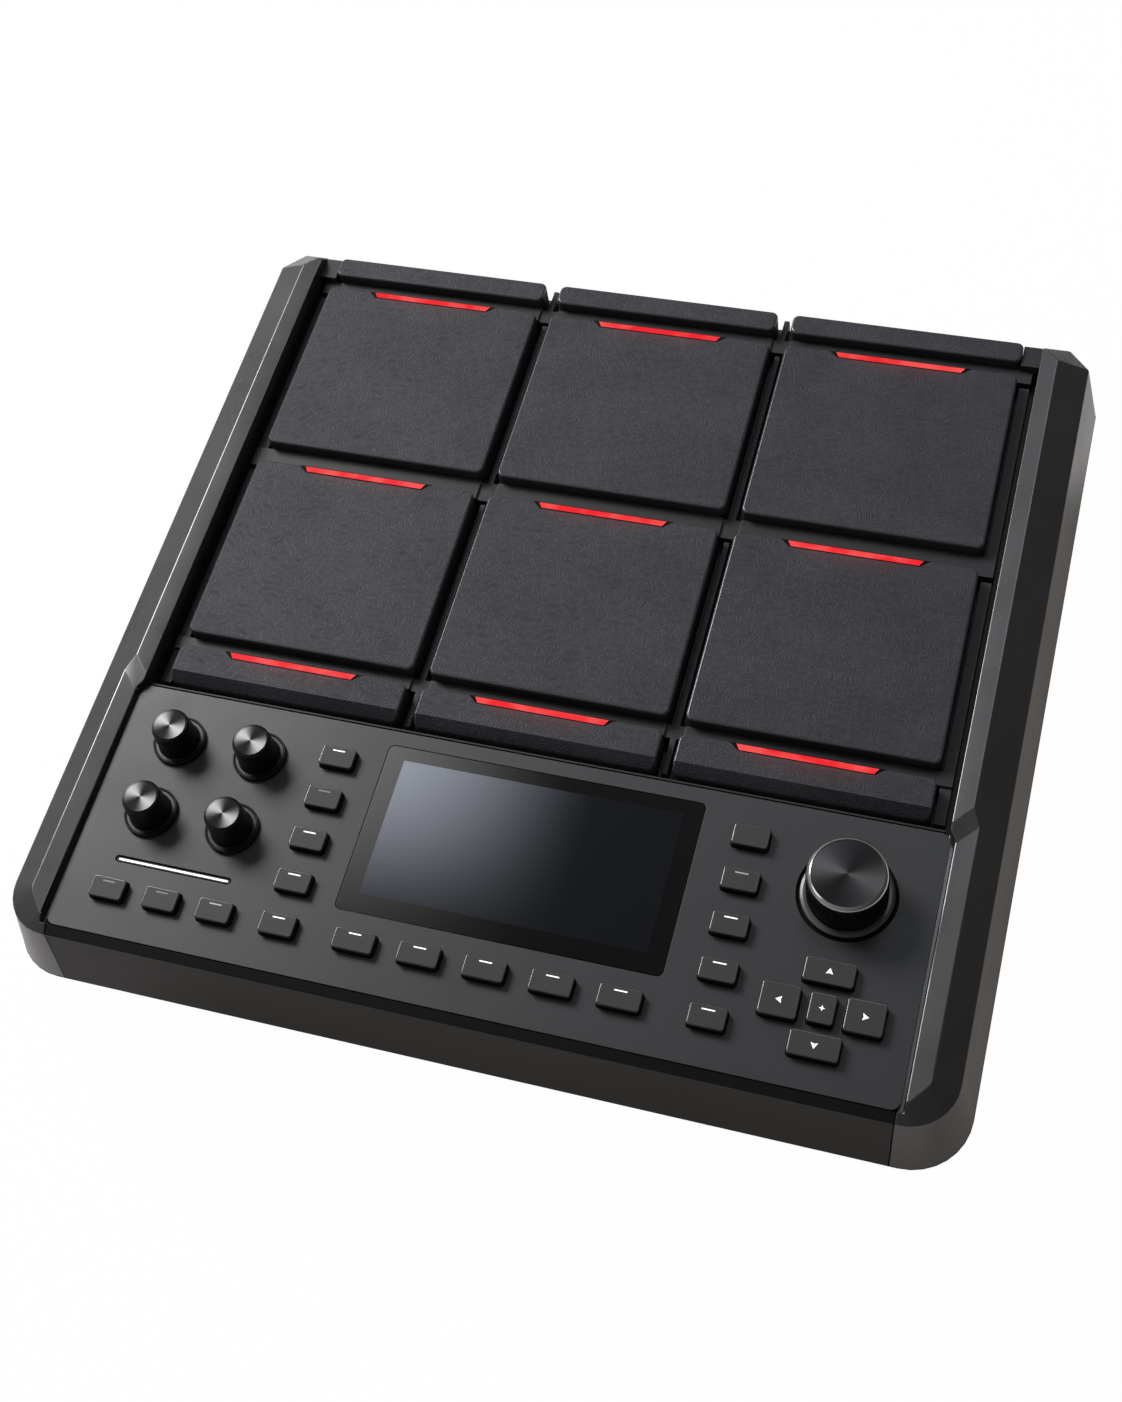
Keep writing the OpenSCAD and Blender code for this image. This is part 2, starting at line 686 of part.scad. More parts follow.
// The low grid round the pads: a bar across each gap between rows, a rib along each channel
module deck_grid() {
  bar_h = cross_z - deck_z + deck_t;
  rib_h = bar_h - rib_drop;
  side_x = rail_x - rib_rail_gap;
  rib_front_y = lower_bar_y + rib_side_gap;
  rib_l = rear_y - rib_front_y;
  row_1_rear_y = row_1_y + pad_d + cross_clear;
  // Ribs, cut through in front of each bar
  difference() {
    for (s = [-1, 1]) {
      translate([s * pad_pitch / 2 - rib_w / 2, rib_front_y, deck_z - deck_t]) cube([rib_w, rib_l, rib_h]);
      translate([s * (side_x - side_rib_w / 2) - side_rib_w / 2, rib_front_y, deck_z - deck_t])
        cube([side_rib_w, rib_l, rib_h]);
    }
    for (y = pad_row_y)
      translate([-far / 2, y + pad_d + cross_clear - rib_slot, deck_z]) cube([far, rib_slot, pad_h]);
  }
  // Bars, lower where they cross the inner channels
  for (b = row_gaps) {
    bar_y = b[0] + cross_clear;
    bar_d = b[1] - b[0] - 2 * cross_clear;
    translate([-side_x, bar_y, deck_z - deck_t]) cube([2 * side_x, bar_d, rib_h]);
    for (c = [0:2]) {
      left = c == 0 ? -side_x : pad_x(c) - pad_w / 2 + bar_in;
      right = c == 2 ? side_x : pad_x(c) + pad_w / 2 - bar_in;
      translate([left, bar_y, deck_z - deck_t]) cube([right - left, bar_d, bar_h]);
    }
  }
  // Plates beside the outer ends of the upper bars
  for (s = [-1, 1])
    translate([s * (side_x - side_rib_w / 2) - side_rib_w / 2, row_1_rear_y, deck_z - deck_t])
      cube([side_rib_w, rear_y - row_1_rear_y, bar_h]);
}

module pad_deck() {
  half_w = rail_x - deck_side_gap;
  front = panel_rear_y - ledge_w;
  color([0.12, 0.12, 0.13])
  difference() {
    union() {
      translate([-half_w, front, deck_z - deck_t]) cube([2 * half_w, rear_y - front, deck_t]);
      translate([-half_w + ledge_w, front, deck_z - deck_t])
        cube([2 * (half_w - ledge_w), ledge_w - deck_lip_gap, panel_under_z - deck_z + deck_t]);
      deck_grid();
      for (p = post_places)
        translate([p[0], p[1], inner_floor_z]) cylinder(r = post_r, h = deck_z - inner_floor_z - deck_t / 2);
    }
    for (p = post_places)
      translate([p[0], p[1], inner_floor_z - over])
        cylinder(r = screw_r + pilot_clear, h = screw_l + over);
  }
}

// The gap at a pad's rear edge that the light bar lies in
module light_notch() {
  gap = 0.3;
  flare = 1.2;
  reach = light_reach + gap;
  half = light_l / 2 + gap;
  rear_half = half + flare * (reach + over);
  translate([0, 0, cross_z - gap]) linear_extrude(cross_drop + over)
    polygon([[-half, -reach], [half, -reach], [rear_half, over], [-rear_half, over]]);
}

// Large pads, numbered along the rear row and then the front row
module pad(i) {
  x = pad_x((i - 1) % 3);
  y = pad_row_y[floor((i - 1) / 3)];
  color([0.2, 0.2, 0.21])
  difference() {
    translate([x, y + pad_d / 2, pad_z]) soft_slab(pad_w, pad_d, pad_h, pad_corner_r, pad_edge);
    translate([x, y + pad_d, 0]) light_notch();
  }
}

module upper_bar_pads() {
  color([0.2, 0.2, 0.21])
  for (c = [0:2])
    translate([pad_x(c), upper_bar_y + upper_bar_d / 2, pad_z])
      soft_slab(pad_w, upper_bar_d, pad_h - upper_bar_drop, pad_corner_r, pad_edge);
}

// Lower bar: a slab whose front edge is cut to a slope
module lower_bar_pads() {
  color([0.2, 0.2, 0.21])
  for (c = [0:2])
    difference() {
      translate([pad_x(c), lower_bar_y + lower_bar_d / 2, pad_z])
        soft_slab(pad_w, lower_bar_d, pad_h, pad_corner_r, pad_edge);
      translate([pad_x(c), lower_bar_y + lower_bar_d, 0]) light_notch();
      translate([pad_x(c), 0, 0]) across(pad_w / 2 + over) polygon([
        [lower_bar_y - over, pad_top_z - lower_bevel_h - over * lower_bevel_h / lower_bevel_d],
        [lower_bar_y + lower_bevel_d, pad_top_z], [lower_bar_y + lower_bevel_d, pad_top_z + over],
        [lower_bar_y - over, pad_top_z + over]]);
    }
}

module pad_light_bars() {
  lean = 0.6;
  half = light_l / 2;
  rear_half = half + lean * light_w;
  color([1, 0.12, 0.12])
  for (c = [0:2], y = light_edge_y)
    translate([pad_x(c), y - light_reach, cross_z]) linear_extrude(cross_drop - light_drop)
      polygon([[-half, 0], [half, 0], [rear_half, light_w], [-rear_half, light_w]]);
}

module pad_sensors() {
  margin = 4;
  bar_margin = 1.5;
  color([0.35, 0.3, 0.2]) {
    for (c = [0:2], y = pad_row_y)
      translate([pad_x(c), y + pad_d / 2, deck_z]) linear_extrude(sensor_t)
        rounded(pad_w - 2 * margin, pad_d - 2 * margin, pad_corner_r);
    for (c = [0:2], b = [[upper_bar_y, upper_bar_d], [lower_bar_y, lower_bar_d]])
      translate([pad_x(c), b[0] + b[1] / 2, deck_z]) linear_extrude(sensor_t)
        rounded(pad_w - 2 * margin, b[1] - 2 * bar_margin, bar_margin);
  }
}

module status_place() {
  translate([(knob_x(0) + knob_x(1)) / 2, status_y]) children();
}

module control_panel() {
  post_x_out = panel_w / 2 - board_post_in_x;
  color([0.25, 0.25, 0.26])
  difference() {
    union() {
      translate([0, panel_mid_y, panel_under_z]) linear_extrude(panel_t)
        rounded(panel_w, panel_d, panel_corner_r);
      for (sx = [-1, 1], y = [panel_front_y + board_post_in_y, panel_rear_y - board_post_in_y])
        translate([sx * post_x_out, y, panel_board_top_z])
          cylinder(r = board_post_r, h = panel_z - panel_board_top_z - panel_t / 2);
    }
    translate([screen_x, glass_mid_y, panel_z - glass_t - glass_seat]) linear_extrude(panel_t)
      rounded(glass_w + 2 * glass_clear, glass_d + 2 * glass_clear, glass_r + glass_clear);
    translate([screen_x, glass_mid_y + display_shift, panel_under_z - over]) linear_extrude(panel_t + over)
      rounded(display_w + 2 * window_margin, display_d + 2 * window_margin, display_r);
    for (k = all_keys)
      translate([k[0], k[1], panel_under_z - over]) linear_extrude(panel_t + 2 * over)
        rounded(k[2] + 2 * key_clear, k[3] + 2 * key_clear, key_corner_r + key_clear);
    for (i = [0:3])
      translate([knob_x(i), knob_y(i), panel_under_z - over])
        cylinder(r = bush_r + bush_clear, h = panel_t + 2 * over);
    translate([dial_x, dial_y, panel_under_z - over]) cylinder(r = bush_r + bush_clear, h = panel_t + over);
    translate([dial_x, dial_y, panel_z - well_depth]) cylinder(r = well_r, h = panel_t);
    translate([0, 0, panel_under_z - over]) linear_extrude(panel_t + 2 * over) status_place()
      slot(status_l + 2 * status_gap, status_w + 2 * status_gap);
  }
}

module screen_glass() {
  color([0.04, 0.04, 0.05])
  translate([screen_x, glass_mid_y, panel_z - glass_t - glass_seat]) linear_extrude(glass_t)
    rounded(glass_w, glass_d, glass_r);
}

module display_module() {
  color([0.3, 0.33, 0.4])
  translate([screen_x, glass_mid_y + display_shift, panel_under_z - display_t]) linear_extrude(display_t)
    rounded(display_w + 2 * display_frame, display_d + 2 * display_frame, display_r);
}

module status_light_bar() {
  bar_h = panel_z - status_sink - panel_board_top_z;
  color([0.95, 0.95, 0.92])
  translate([0, 0, panel_board_top_z]) linear_extrude(bar_h) status_place() slot(status_l, status_w);
}

module panel_board() {
  color([0.08, 0.3, 0.16])
  translate([-panel_w / 2 + board_edge, panel_front_y + board_edge, panel_board_z])
    cube([panel_w - 2 * board_edge, panel_d - 2 * board_edge, board_t]);
}

module main_board() {
  chip = [18, 18, 1.8];
  chip_pitch = 0.43 * main_board_half_w;
  color([0.08, 0.3, 0.16]) {
    translate([-main_board_half_w, main_board_rear_y - main_board_d, main_board_z])
      cube([2 * main_board_half_w, main_board_d, board_t]);
    for (k = [-1:1])
      translate([k * chip_pitch, main_board_rear_y - main_board_d / 2, main_board_top_z - skin])
        translate([-chip[0] / 2, -chip[1] / 2, 0]) cube(chip);
  }
}

module key_switches() {
  color([0.1, 0.1, 0.1])
  for (k = all_keys)
    translate([k[0], k[1], panel_board_top_z]) {
      translate([-switch_w / 2, -switch_w / 2, 0]) cube([switch_w, switch_w, switch_h - plunger_h]);
      cylinder(r = plunger_r, h = switch_h);
    }
}

// A control's case and threaded bush, with the bore that its shaft turns in
module rotary_control(x, y, bush_z) {
  difference() {
    union() {
      translate([x - pot_w / 2, y - pot_d / 2, panel_board_top_z]) cube([pot_w, pot_d, pot_h]);
      translate([x, y, panel_board_top_z]) cylinder(r = bush_r, h = bush_z - panel_board_top_z);
    }
    translate([x, y, panel_board_top_z + shaft_end - turn_gap])
      cylinder(r = shaft_r + running_gap, h = bush_z);
  }
}

module rotary_controls() {
  color([0.55, 0.55, 0.56]) {
    for (i = [0:3]) rotary_control(knob_x(i), knob_y(i), panel_z + bush_top);
    rotary_control(dial_x, dial_y, panel_z);
  }
}

// A small knob with its shaft: flared skirt with a raised rim, tapered side, seat for the cap
module knob(i) {
  foot_z = panel_z + turn_gap;
  top_z = panel_z + knob_h - cap_t + cap_seat;
  hub_z = panel_z + bush_top + hub_gap;
  color([0.06, 0.06, 0.06])
  translate([knob_x(i - 1), knob_y(i - 1), 0]) {
    difference() {
      rotate_extrude() polygon([[0, hub_z], [hub_r, hub_z], [hub_r, foot_z], [skirt_r, foot_z],
        [skirt_r, foot_z + rim_h - rim_edge], [skirt_r - rim_edge, foot_z + rim_h],
        [skirt_r - rim_w, foot_z + rim_h], [knob_foot_r, foot_z + skirt_h],
        [knob_r, top_z - knob_top_edge], [knob_r - knob_top_edge, top_z], [0, top_z]]);
      translate([0, 0, top_z - cap_seat]) cylinder(r = knob_r - cap_inset, h = cap_seat + over);
    }
    translate([0, 0, panel_board_top_z + shaft_end])
      cylinder(r = shaft_r, h = hub_z - panel_board_top_z - shaft_end + over);
  }
}

// Spun metal cap: flat with a fine raised rim
module knob_cap(i) {
  r = knob_r - cap_inset - cap_clear;
  z = panel_z + knob_h - cap_t;
  edge = 0.2;
  rim_in = r - 3 * edge;
  color([0.5, 0.5, 0.5])
  translate([knob_x(i - 1), knob_y(i - 1), z]) rotate_extrude()
    polygon([[0, 0], [r, 0], [r, cap_t - edge], [r - edge, cap_t], [rim_in, cap_t],
      [rim_in - edge, cap_t - edge], [0, cap_t - edge]]);
}

// The dial: foot in its well, knurled side, hub over the bush, and its shaft
module dial() {
  foot_z = panel_z - well_depth + well_gap;
  side_z = panel_z + dial_foot_h;
  top_z = panel_z + dial_h - dial_cap_t;
  hub_z = panel_z + hub_gap;
  steps = 2 * dial_ridges;
  color([0.07, 0.07, 0.07])
  translate([dial_x, dial_y, 0]) {
    difference() {
      union() {
        rotate_extrude() polygon([[0, foot_z], [dial_foot_r, foot_z], [dial_foot_r, side_z - dial_foot_edge],
          [dial_foot_r - dial_foot_edge, side_z], [0, side_z]]);
        translate([0, 0, side_z]) linear_extrude(top_z - side_z) polygon([for (k = [0:steps - 1])
          (dial_r - (k % 2) * dial_ridge_h) * [cos(k * 360 / steps), sin(k * 360 / steps)]]);
      }
      translate([0, 0, foot_z - over]) cylinder(r = hub_r, h = hub_z - foot_z + over);
    }
    translate([0, 0, panel_board_top_z + shaft_end])
      cylinder(r = shaft_r, h = hub_z - panel_board_top_z - shaft_end + over);
  }
}

module dial_cap() {
  r = dial_r - dial_ridge_h;
  flat_r = r - dial_cap_chamfer;
  dish = 0.2;
  color([0.35, 0.35, 0.36])
  translate([dial_x, dial_y, panel_z + dial_h - dial_cap_t]) rotate_extrude()
    polygon([[0, 0], [r, 0], [r, dial_cap_t - dial_cap_chamfer], [flat_r, dial_cap_t],
      [flat_r - dish, dial_cap_t - dish], [0, dial_cap_t - dish]]);
}

// A key: lip under the plate and a cap with rounded edges
module key(k) {
  color([0.14, 0.14, 0.15])
  translate([k[0], k[1], lip_z]) {
    linear_extrude(lip_t)
      rounded(k[2] + 2 * key_lip, k[3] + 2 * key_lip, key_corner_r + key_lip);
    soft_slab(k[2], k[3], panel_z + key_h - lip_z, key_corner_r, key_edge);
  }
}

module power_button() {
  color([0.1, 0.1, 0.1]) {
    along_y(power_x, bay_inner_y - lip_gap - lip_t, socket_z, power_lip_r, lip_t);
    along_y(power_x, bay_inner_y - lip_gap - lip_t, socket_z, power_r,
      bay_face_y + power_out - bay_inner_y + lip_gap + lip_t);
  }
}

module jack(x) {
  mouth_y = bay_face_y + jack_lip;
  difference() {
    union() {
      along_y(x, bay_inner_y - jack_body_l, socket_z, jack_body_r, jack_body_l);
      along_y(x, bay_inner_y - over, socket_z, jack_bush_r, mouth_y - bay_inner_y + over);
    }
    along_y(x, mouth_y - jack_depth, socket_z, jack_r, jack_depth + over);
  }
}

module usb_socket() {
  mouth_y = bay_face_y + jack_lip;
  depth = 10;
  translate([usb_x, 0, socket_z]) {
    difference() {
      union() {
        translate([-usb_body[0] / 2, bay_inner_y - usb_body[1], -usb_body[2] / 2]) cube(usb_body);
        translate([-usb_w / 2 - usb_wall, bay_inner_y - over, -usb_h / 2 - usb_wall])
          cube([usb_w + 2 * usb_wall, mouth_y - bay_inner_y + over, usb_h + 2 * usb_wall]);
      }
      translate([-usb_w / 2, mouth_y - depth, -usb_h / 2]) cube([usb_w, depth + over, usb_h]);
    }
    translate([-tongue[0] / 2, mouth_y - depth - over, -tongue[1] / 2])
      cube([tongue[0], depth + over - pin_set_back, tongue[1]]);
  }
}

module power_inlet() {
  mouth_y = bay_face_y + jack_lip;
  depth = 11;
  difference() {
    union() {
      along_y(power_in_x, bay_inner_y - jack_body_l, socket_z, jack_body_r, jack_body_l);
      along_y(power_in_x, bay_inner_y - over, socket_z, power_in_bush_r, mouth_y - bay_inner_y + over);
    }
    along_y(power_in_x, mouth_y - depth, socket_z, power_in_r, depth + over);
  }
  along_y(power_in_x, mouth_y - depth - over, socket_z, power_pin_r, depth + over - pin_set_back);
}

module power_switch() {
  face_y = bay_inner_y - lip_gap - lip_t - power_travel - switch_gap;
  body_l = 12;
  translate([power_x - jack_body_r, face_y - body_l, main_board_top_z])
    cube([2 * jack_body_r, body_l, 2 * jack_body_r]);
}

module rear_sockets() {
  color([0.09, 0.09, 0.1]) {
    for (i = [0:jack_count - 1]) jack(jack_x0 + i * jack_pitch);
    usb_socket();
    power_inlet();
    power_switch();
  }
}

module rubber_feet() {
  color([0.08, 0.08, 0.08])
  for (p = foot_places)
    translate([p[0], p[1], 0]) {
      rotate_extrude() polygon([[0, 0], [foot_r - foot_edge, 0], [foot_r, foot_edge],
        [foot_r, foot_h], [0, foot_h]]);
      translate([0, 0, foot_h - over]) cylinder(r = foot_spigot_r, h = foot_spigot_h + over);
    }
}

module case_screws() {
  color([0.3, 0.3, 0.3])
  for (p = post_places)
    translate([p[0], p[1], tub_floor_z]) {
      cylinder(r = screw_head_r, h = screw_head_h);
      cylinder(r = screw_r, h = screw_l - over);
    }
}

module stand_inserts() {
  color([0.75, 0.6, 0.3])
  for (p = insert_places)
    translate([p[0], p[1], tub_floor_z])
      difference() {
        cylinder(r = insert_r - insert_clear, h = insert_h);
        translate([0, 0, -over]) cylinder(r = insert_hole_r, h = insert_h + 2 * over);
      }
}

bottom_case();
left_side_rail();
right_side_rail();
pad_deck();
control_panel();
screen_glass();
display_module();
pad_light_bars();
status_light_bar();
main_board();
panel_board();
pad_sensors();
rear_sockets();
rubber_feet();
rotary_controls();
key_switches();
case_screws();
stand_inserts();
for (i = [1:6]) pad(i);
upper_bar_pads();
lower_bar_pads();
for (i = [1:4]) knob(i);
for (i = [1:4]) knob_cap(i);
dial();
dial_cap();
for (i = [1:3]) key(mode_keys[i - 1]);
for (i = [1:5]) key(left_keys[i - 1]);
for (i = [1:5]) key(screen_keys[i - 1]);
for (i = [1:5]) key(right_keys[i - 1]);
key(nav_keys[0]);  // nav_up_key
key(nav_keys[1]);  // nav_left_key
key(nav_keys[2]);  // nav_enter_key
key(nav_keys[3]);  // nav_right_key
key(nav_keys[4]);  // nav_down_key
power_button();
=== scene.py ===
# %% [markdown]
# # Dressing a sampling percussion pad
# The object is a table-top electronic percussion unit: six large rubber pads and six bar pads on a
# deck, two side rails, and a control panel with a screen, a dial, four knobs and a field of keys.
# Its solids are already drawn to size, so this lesson doesn't move or reshape them. It loads them,
# gives every surface its finish, and builds finer pieces over the ones whose edges, grain or metal
# decide how the real thing looks.

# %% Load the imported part
import json
import math

import bmesh
import bpy
from mathutils import Matrix, Vector

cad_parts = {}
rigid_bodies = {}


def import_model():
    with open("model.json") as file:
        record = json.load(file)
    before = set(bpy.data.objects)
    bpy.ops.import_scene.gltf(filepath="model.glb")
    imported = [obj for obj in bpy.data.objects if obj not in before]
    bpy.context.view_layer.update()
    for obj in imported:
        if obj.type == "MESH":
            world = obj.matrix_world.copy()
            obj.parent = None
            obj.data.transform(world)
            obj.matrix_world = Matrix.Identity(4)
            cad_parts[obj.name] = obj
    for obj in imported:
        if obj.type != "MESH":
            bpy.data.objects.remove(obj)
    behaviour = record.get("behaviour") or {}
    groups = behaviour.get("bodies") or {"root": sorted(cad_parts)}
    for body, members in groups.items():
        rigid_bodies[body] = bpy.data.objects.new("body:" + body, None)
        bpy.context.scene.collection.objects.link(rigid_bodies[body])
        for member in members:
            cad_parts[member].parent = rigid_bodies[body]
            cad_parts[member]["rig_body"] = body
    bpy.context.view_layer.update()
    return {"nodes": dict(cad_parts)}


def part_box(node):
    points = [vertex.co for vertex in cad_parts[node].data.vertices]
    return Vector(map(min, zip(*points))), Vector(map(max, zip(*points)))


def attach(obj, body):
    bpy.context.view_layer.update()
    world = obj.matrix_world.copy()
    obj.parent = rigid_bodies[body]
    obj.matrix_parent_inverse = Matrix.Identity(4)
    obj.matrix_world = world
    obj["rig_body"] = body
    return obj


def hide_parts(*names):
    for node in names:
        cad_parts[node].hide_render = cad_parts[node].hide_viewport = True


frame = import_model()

MM = 0.001
nodes = frame["nodes"]

# %% [markdown]
# ## The camera
# A product picture like this one is taken with a normal lens from above the player's right shoulder.
# The camera could be aimed with a Track To constraint, but the picture is also rolled, so the three
# axes are written out: one turn about Z, one tilt above the table, one roll.

# %% Set up the camera
lens_mm, film_mm = 48.77, 36
stand = Vector((195.8, -394.1, 769.8)) * MM
turn, tilt, roll = (math.radians(a) for a in (27.693, 59.735, -14.261))
across = Vector((math.cos(turn), math.sin(turn), 0))
behind = Vector((math.sin(turn) * math.cos(tilt), -math.cos(turn) * math.cos(tilt), math.sin(tilt)))
upward = behind.cross(across)
view_x = math.cos(roll) * across + math.sin(roll) * upward
view_y = math.cos(roll) * upward - math.sin(roll) * across
camera = bpy.data.objects.new("camera", bpy.data.cameras.new("camera"))
camera.data.lens = lens_mm
camera.data.sensor_width = film_mm
camera.data.clip_start = 10 * MM
camera.matrix_world = Matrix((view_x, view_y, behind)).transposed().to_4x4()
camera.matrix_world.translation = stand
bpy.context.scene.collection.objects.link(camera)
bpy.context.scene.camera = camera
bpy.context.scene.view_settings.view_transform = "Standard"
print("camera stands", round(stand.length, 3), "m from the middle of the table")

# %% [markdown]
# ## Table and light
# The unit is shown on plain white. A white sheet could be lit until it clips, but that light would
# also wash out the dark rubber, so the floor only looks white: rays straight from the camera, and
# those that come through glass, see a white glow mixed over the sheet. Rays that a satin wall mirrors
# down to the sheet see a weak warm glow, because a real table is never as dark as one lamp leaves it.
# Every other ray sees an ordinary matt sheet that catches the shadow.

# %% Lay the floor
def link_mesh(name, mesh):
    obj = bpy.data.objects.new(name, mesh)
    bpy.context.scene.collection.objects.link(obj)
    return obj


def add_node(tree, kind, links=(), **settings):
    """A node with its settings; links gives (input, output socket) pairs."""
    made = tree.nodes.new(kind)
    for key, value in settings.items():
        if hasattr(made, key):
            setattr(made, key, value)
        else:
            made.inputs[key.replace("_", " ").title()].default_value = value
    for socket, source in links:
        tree.links.new(source, made.inputs[socket])
    return made


def feed(tree, socket, value):
    """Sets a socket to a plain value, or links it to another node's output."""
    if isinstance(value, bpy.types.NodeSocket):
        tree.links.new(value, socket)
    else:
        socket.default_value = value


def reckon(tree, operation, *values, kind="ShaderNodeMath"):
    """A sum of one operation; each value is plain or another node's output."""
    made = add_node(tree, kind, operation=operation)
    for socket, value in zip(made.inputs, values):
        feed(tree, socket, value)
    return made.outputs[0]


def glow_over(tree, under, rays, amount, colour):
    """Mixes a plain glow over a shader, by an amount, for the rays that are picked."""
    glow = add_node(tree, "ShaderNodeEmission")
    glow.inputs["Color"].default_value = (*colour, 1)
    share = reckon(tree, "MULTIPLY", rays, amount)
    mix = add_node(tree, "ShaderNodeMixShader", [(0, share), (1, under), (2, glow.outputs[0])])
    return mix.outputs[0]


floor_half = 6.0
warm_share, white_share = 0.16, 0.985
corners = [(x * floor_half, y * floor_half, 0) for x, y in ((-1, -1), (1, -1), (1, 1), (-1, 1))]
sheet = bpy.data.meshes.new("floor")
sheet.from_pydata(corners, [], [(0, 1, 2, 3)])
floor = link_mesh("floor", sheet)
white_sheet = bpy.data.materials.new("white sheet")
white_sheet.use_nodes = True
tree = white_sheet.node_tree
paper = tree.nodes["Principled BSDF"]
paper.inputs["Base Color"].default_value = (0.82, 0.82, 0.82, 1)
paper.inputs["Roughness"].default_value = 0.9
rays = add_node(tree, "ShaderNodeLightPath").outputs
straight = reckon(tree, "MAXIMUM", rays["Is Camera Ray"], rays["Is Transmission Ray"])
warm_sheet = glow_over(tree, paper.outputs[0], rays["Is Glossy Ray"], warm_share, (0.66, 0.53, 0.43))
shown_sheet = glow_over(tree, warm_sheet, straight, white_share, (1, 1, 1))
tree.links.new(shown_sheet, tree.nodes["Material Output"].inputs["Surface"])
floor.data.materials.append(white_sheet)
print("floor is", 2 * floor_half, "m square")

# %% [markdown]
# The light comes from behind the unit on its left, as the lit left and rear edges and the shadows
# towards the lower right show. One broad soft box does most of it, because a small lamp would give
# hard black shadows in the channels. A faint screen and a narrow strip above the rear are what the
# satin tops of the rails mirror. A white card above the front left is what the dial's ring mirrors.
# Two weak warm strips, which no gloss shows, tint the walls at the right and in front.

# %% Hang the lamps
def soft_box(name, place, aim, size, power, colour=(1, 1, 1), in_gloss=True):
    lamp = bpy.data.lights.new(name, "AREA")
    lamp.shape = "RECTANGLE"
    lamp.size, lamp.size_y = size
    lamp.energy = power
    lamp.color = colour
    obj = bpy.data.objects.new(name, lamp)
    bpy.context.scene.collection.objects.link(obj)
    obj.location = place
    obj.rotation_euler = (Vector(aim) - Vector(place)).to_track_quat("-Z", "Y").to_euler()
    obj.visible_camera = False
    obj.visible_glossy = in_gloss


middle = (-0.05, 0.0, 0.05)
soft_box("window light", (-1.14, 0.70, 1.22), middle, (0.75, 0.75), 33, (1.0, 0.995, 0.99))
soft_box("rear screen", (-0.25, 1.12, 1.30), middle, (1.3, 0.8), 0.8, (0.92, 0.96, 1.0))
soft_box("rear strip", (0.16, 0.85, 1.46), (0.18, 0.0, 0.078), (0.24, 1.0), 2.6, (0.88, 0.94, 1.0))
soft_box("white card", (-0.78, -0.41, 0.95), (0.14, -0.10, 0.09), (0.5, 0.45), 0.64)
soft_box("right strip", (1.3, 0.1, 0.35), (0.2, 0.0, 0.04), (0.3, 1.2), 1.6, (1.0, 0.80, 0.66), False)
soft_box("front bounce", (0.4, -1.3, 0.25), (0.1, -0.18, 0.03), (1.2, 0.3), 1.0, (1.0, 0.82, 0.70), False)

# %% [markdown]
# A dim room carries the rest of the light. One even sky would flatten the grain, so the room is lighter
# at the left than at the right, as it is beside a window. Beyond the floor its walls would show, so
# there the camera sees plain white instead.

# %% Light the room
def ranged(tree, value, before, after, **settings):
    """Maps a value from one range to another."""
    made = add_node(tree, "ShaderNodeMapRange", [("Value", value)], **settings)
    for socket, limit in zip(("From Min", "From Max", "To Min", "To Max"), (*before, *after)):
        made.inputs[socket].default_value = limit
    return made.outputs[0]


room_left, room_right = 0.27, 0.05
room = bpy.data.worlds.new("room")
bpy.context.scene.world = room
room.use_nodes = True
tree = room.node_tree
sky = tree.nodes["Background"]
sky.inputs["Color"].default_value = (0.97, 0.98, 1.0, 1)
toward = add_node(tree, "ShaderNodeTexCoord").outputs["Generated"]
sideways = add_node(tree, "ShaderNodeSeparateXYZ", [("Vector", toward)]).outputs["X"]
feed(tree, sky.inputs["Strength"], ranged(tree, sideways, (-0.8, 0.8), (room_left, room_right)))
white_sky = add_node(tree, "ShaderNodeBackground")
white_sky.inputs["Color"].default_value = (1, 1, 1, 1)
camera_ray = add_node(tree, "ShaderNodeLightPath").outputs["Is Camera Ray"]
shown_sky = add_node(tree, "ShaderNodeMixShader",
                     [(0, camera_ray), (1, sky.outputs[0]), (2, white_sky.outputs[0])])
tree.links.new(shown_sky.outputs[0], tree.nodes["World Output"].inputs["Surface"])
print("room light goes from", room_left, "at the left to", room_right, "at the right")

# %% [markdown]
# ## Finishes
# Nearly everything here is black or dark grey, so the finishes differ by gloss and grain more than
# by colour. A finish could mix several simple shaders, but one Principled shader has a socket for each
# thing that a plastic or a metal needs, and its plain values are set right there.

# %% A finish
def shader_of(made):
    return made.node_tree.nodes["Principled BSDF"]


def feed_shader(made, socket, source):
    made.node_tree.links.new(source, shader_of(made).inputs[socket])


def finish(name, colour, rough, **values):
    """A Principled finish; more values go by the names of the shader's sockets."""
    made = bpy.data.materials.new(name)
    made.use_nodes = True
    sockets = shader_of(made).inputs
    sockets["Base Color"].default_value = (*colour, 1)
    sockets["Roughness"].default_value = rough
    for socket, value in values.items():
        sockets[socket.replace("_", " ").title().replace("Ior", "IOR")].default_value = value
    return made


print("sockets on the shader:", len(paper.inputs))

# %% [markdown]
# No moulding is quite even. Its skin has the fine grain of the mould, handling leaves slow patches of
# lighter colour, and the gloss drifts. Pictures wrapped round the pieces could show that, but they blur
# near by, so each is a noise in the object's own millimetres and keeps its size from any distance.

# %% Grain, clouds and wear
def place_on(tree):
    """Where a point lies on its object, in the object's own metres."""
    return add_node(tree, "ShaderNodeTexCoord").outputs["Object"]


def grain_size(mm):
    """Noise scale for a grain of so many millimetres."""
    return 1 / (mm * MM)


def noise_on(tree, mm, detail):
    made = add_node(tree, "ShaderNodeTexNoise", [("Vector", place_on(tree))],
                    scale=grain_size(mm), detail=detail)
    return made.outputs["Fac"]


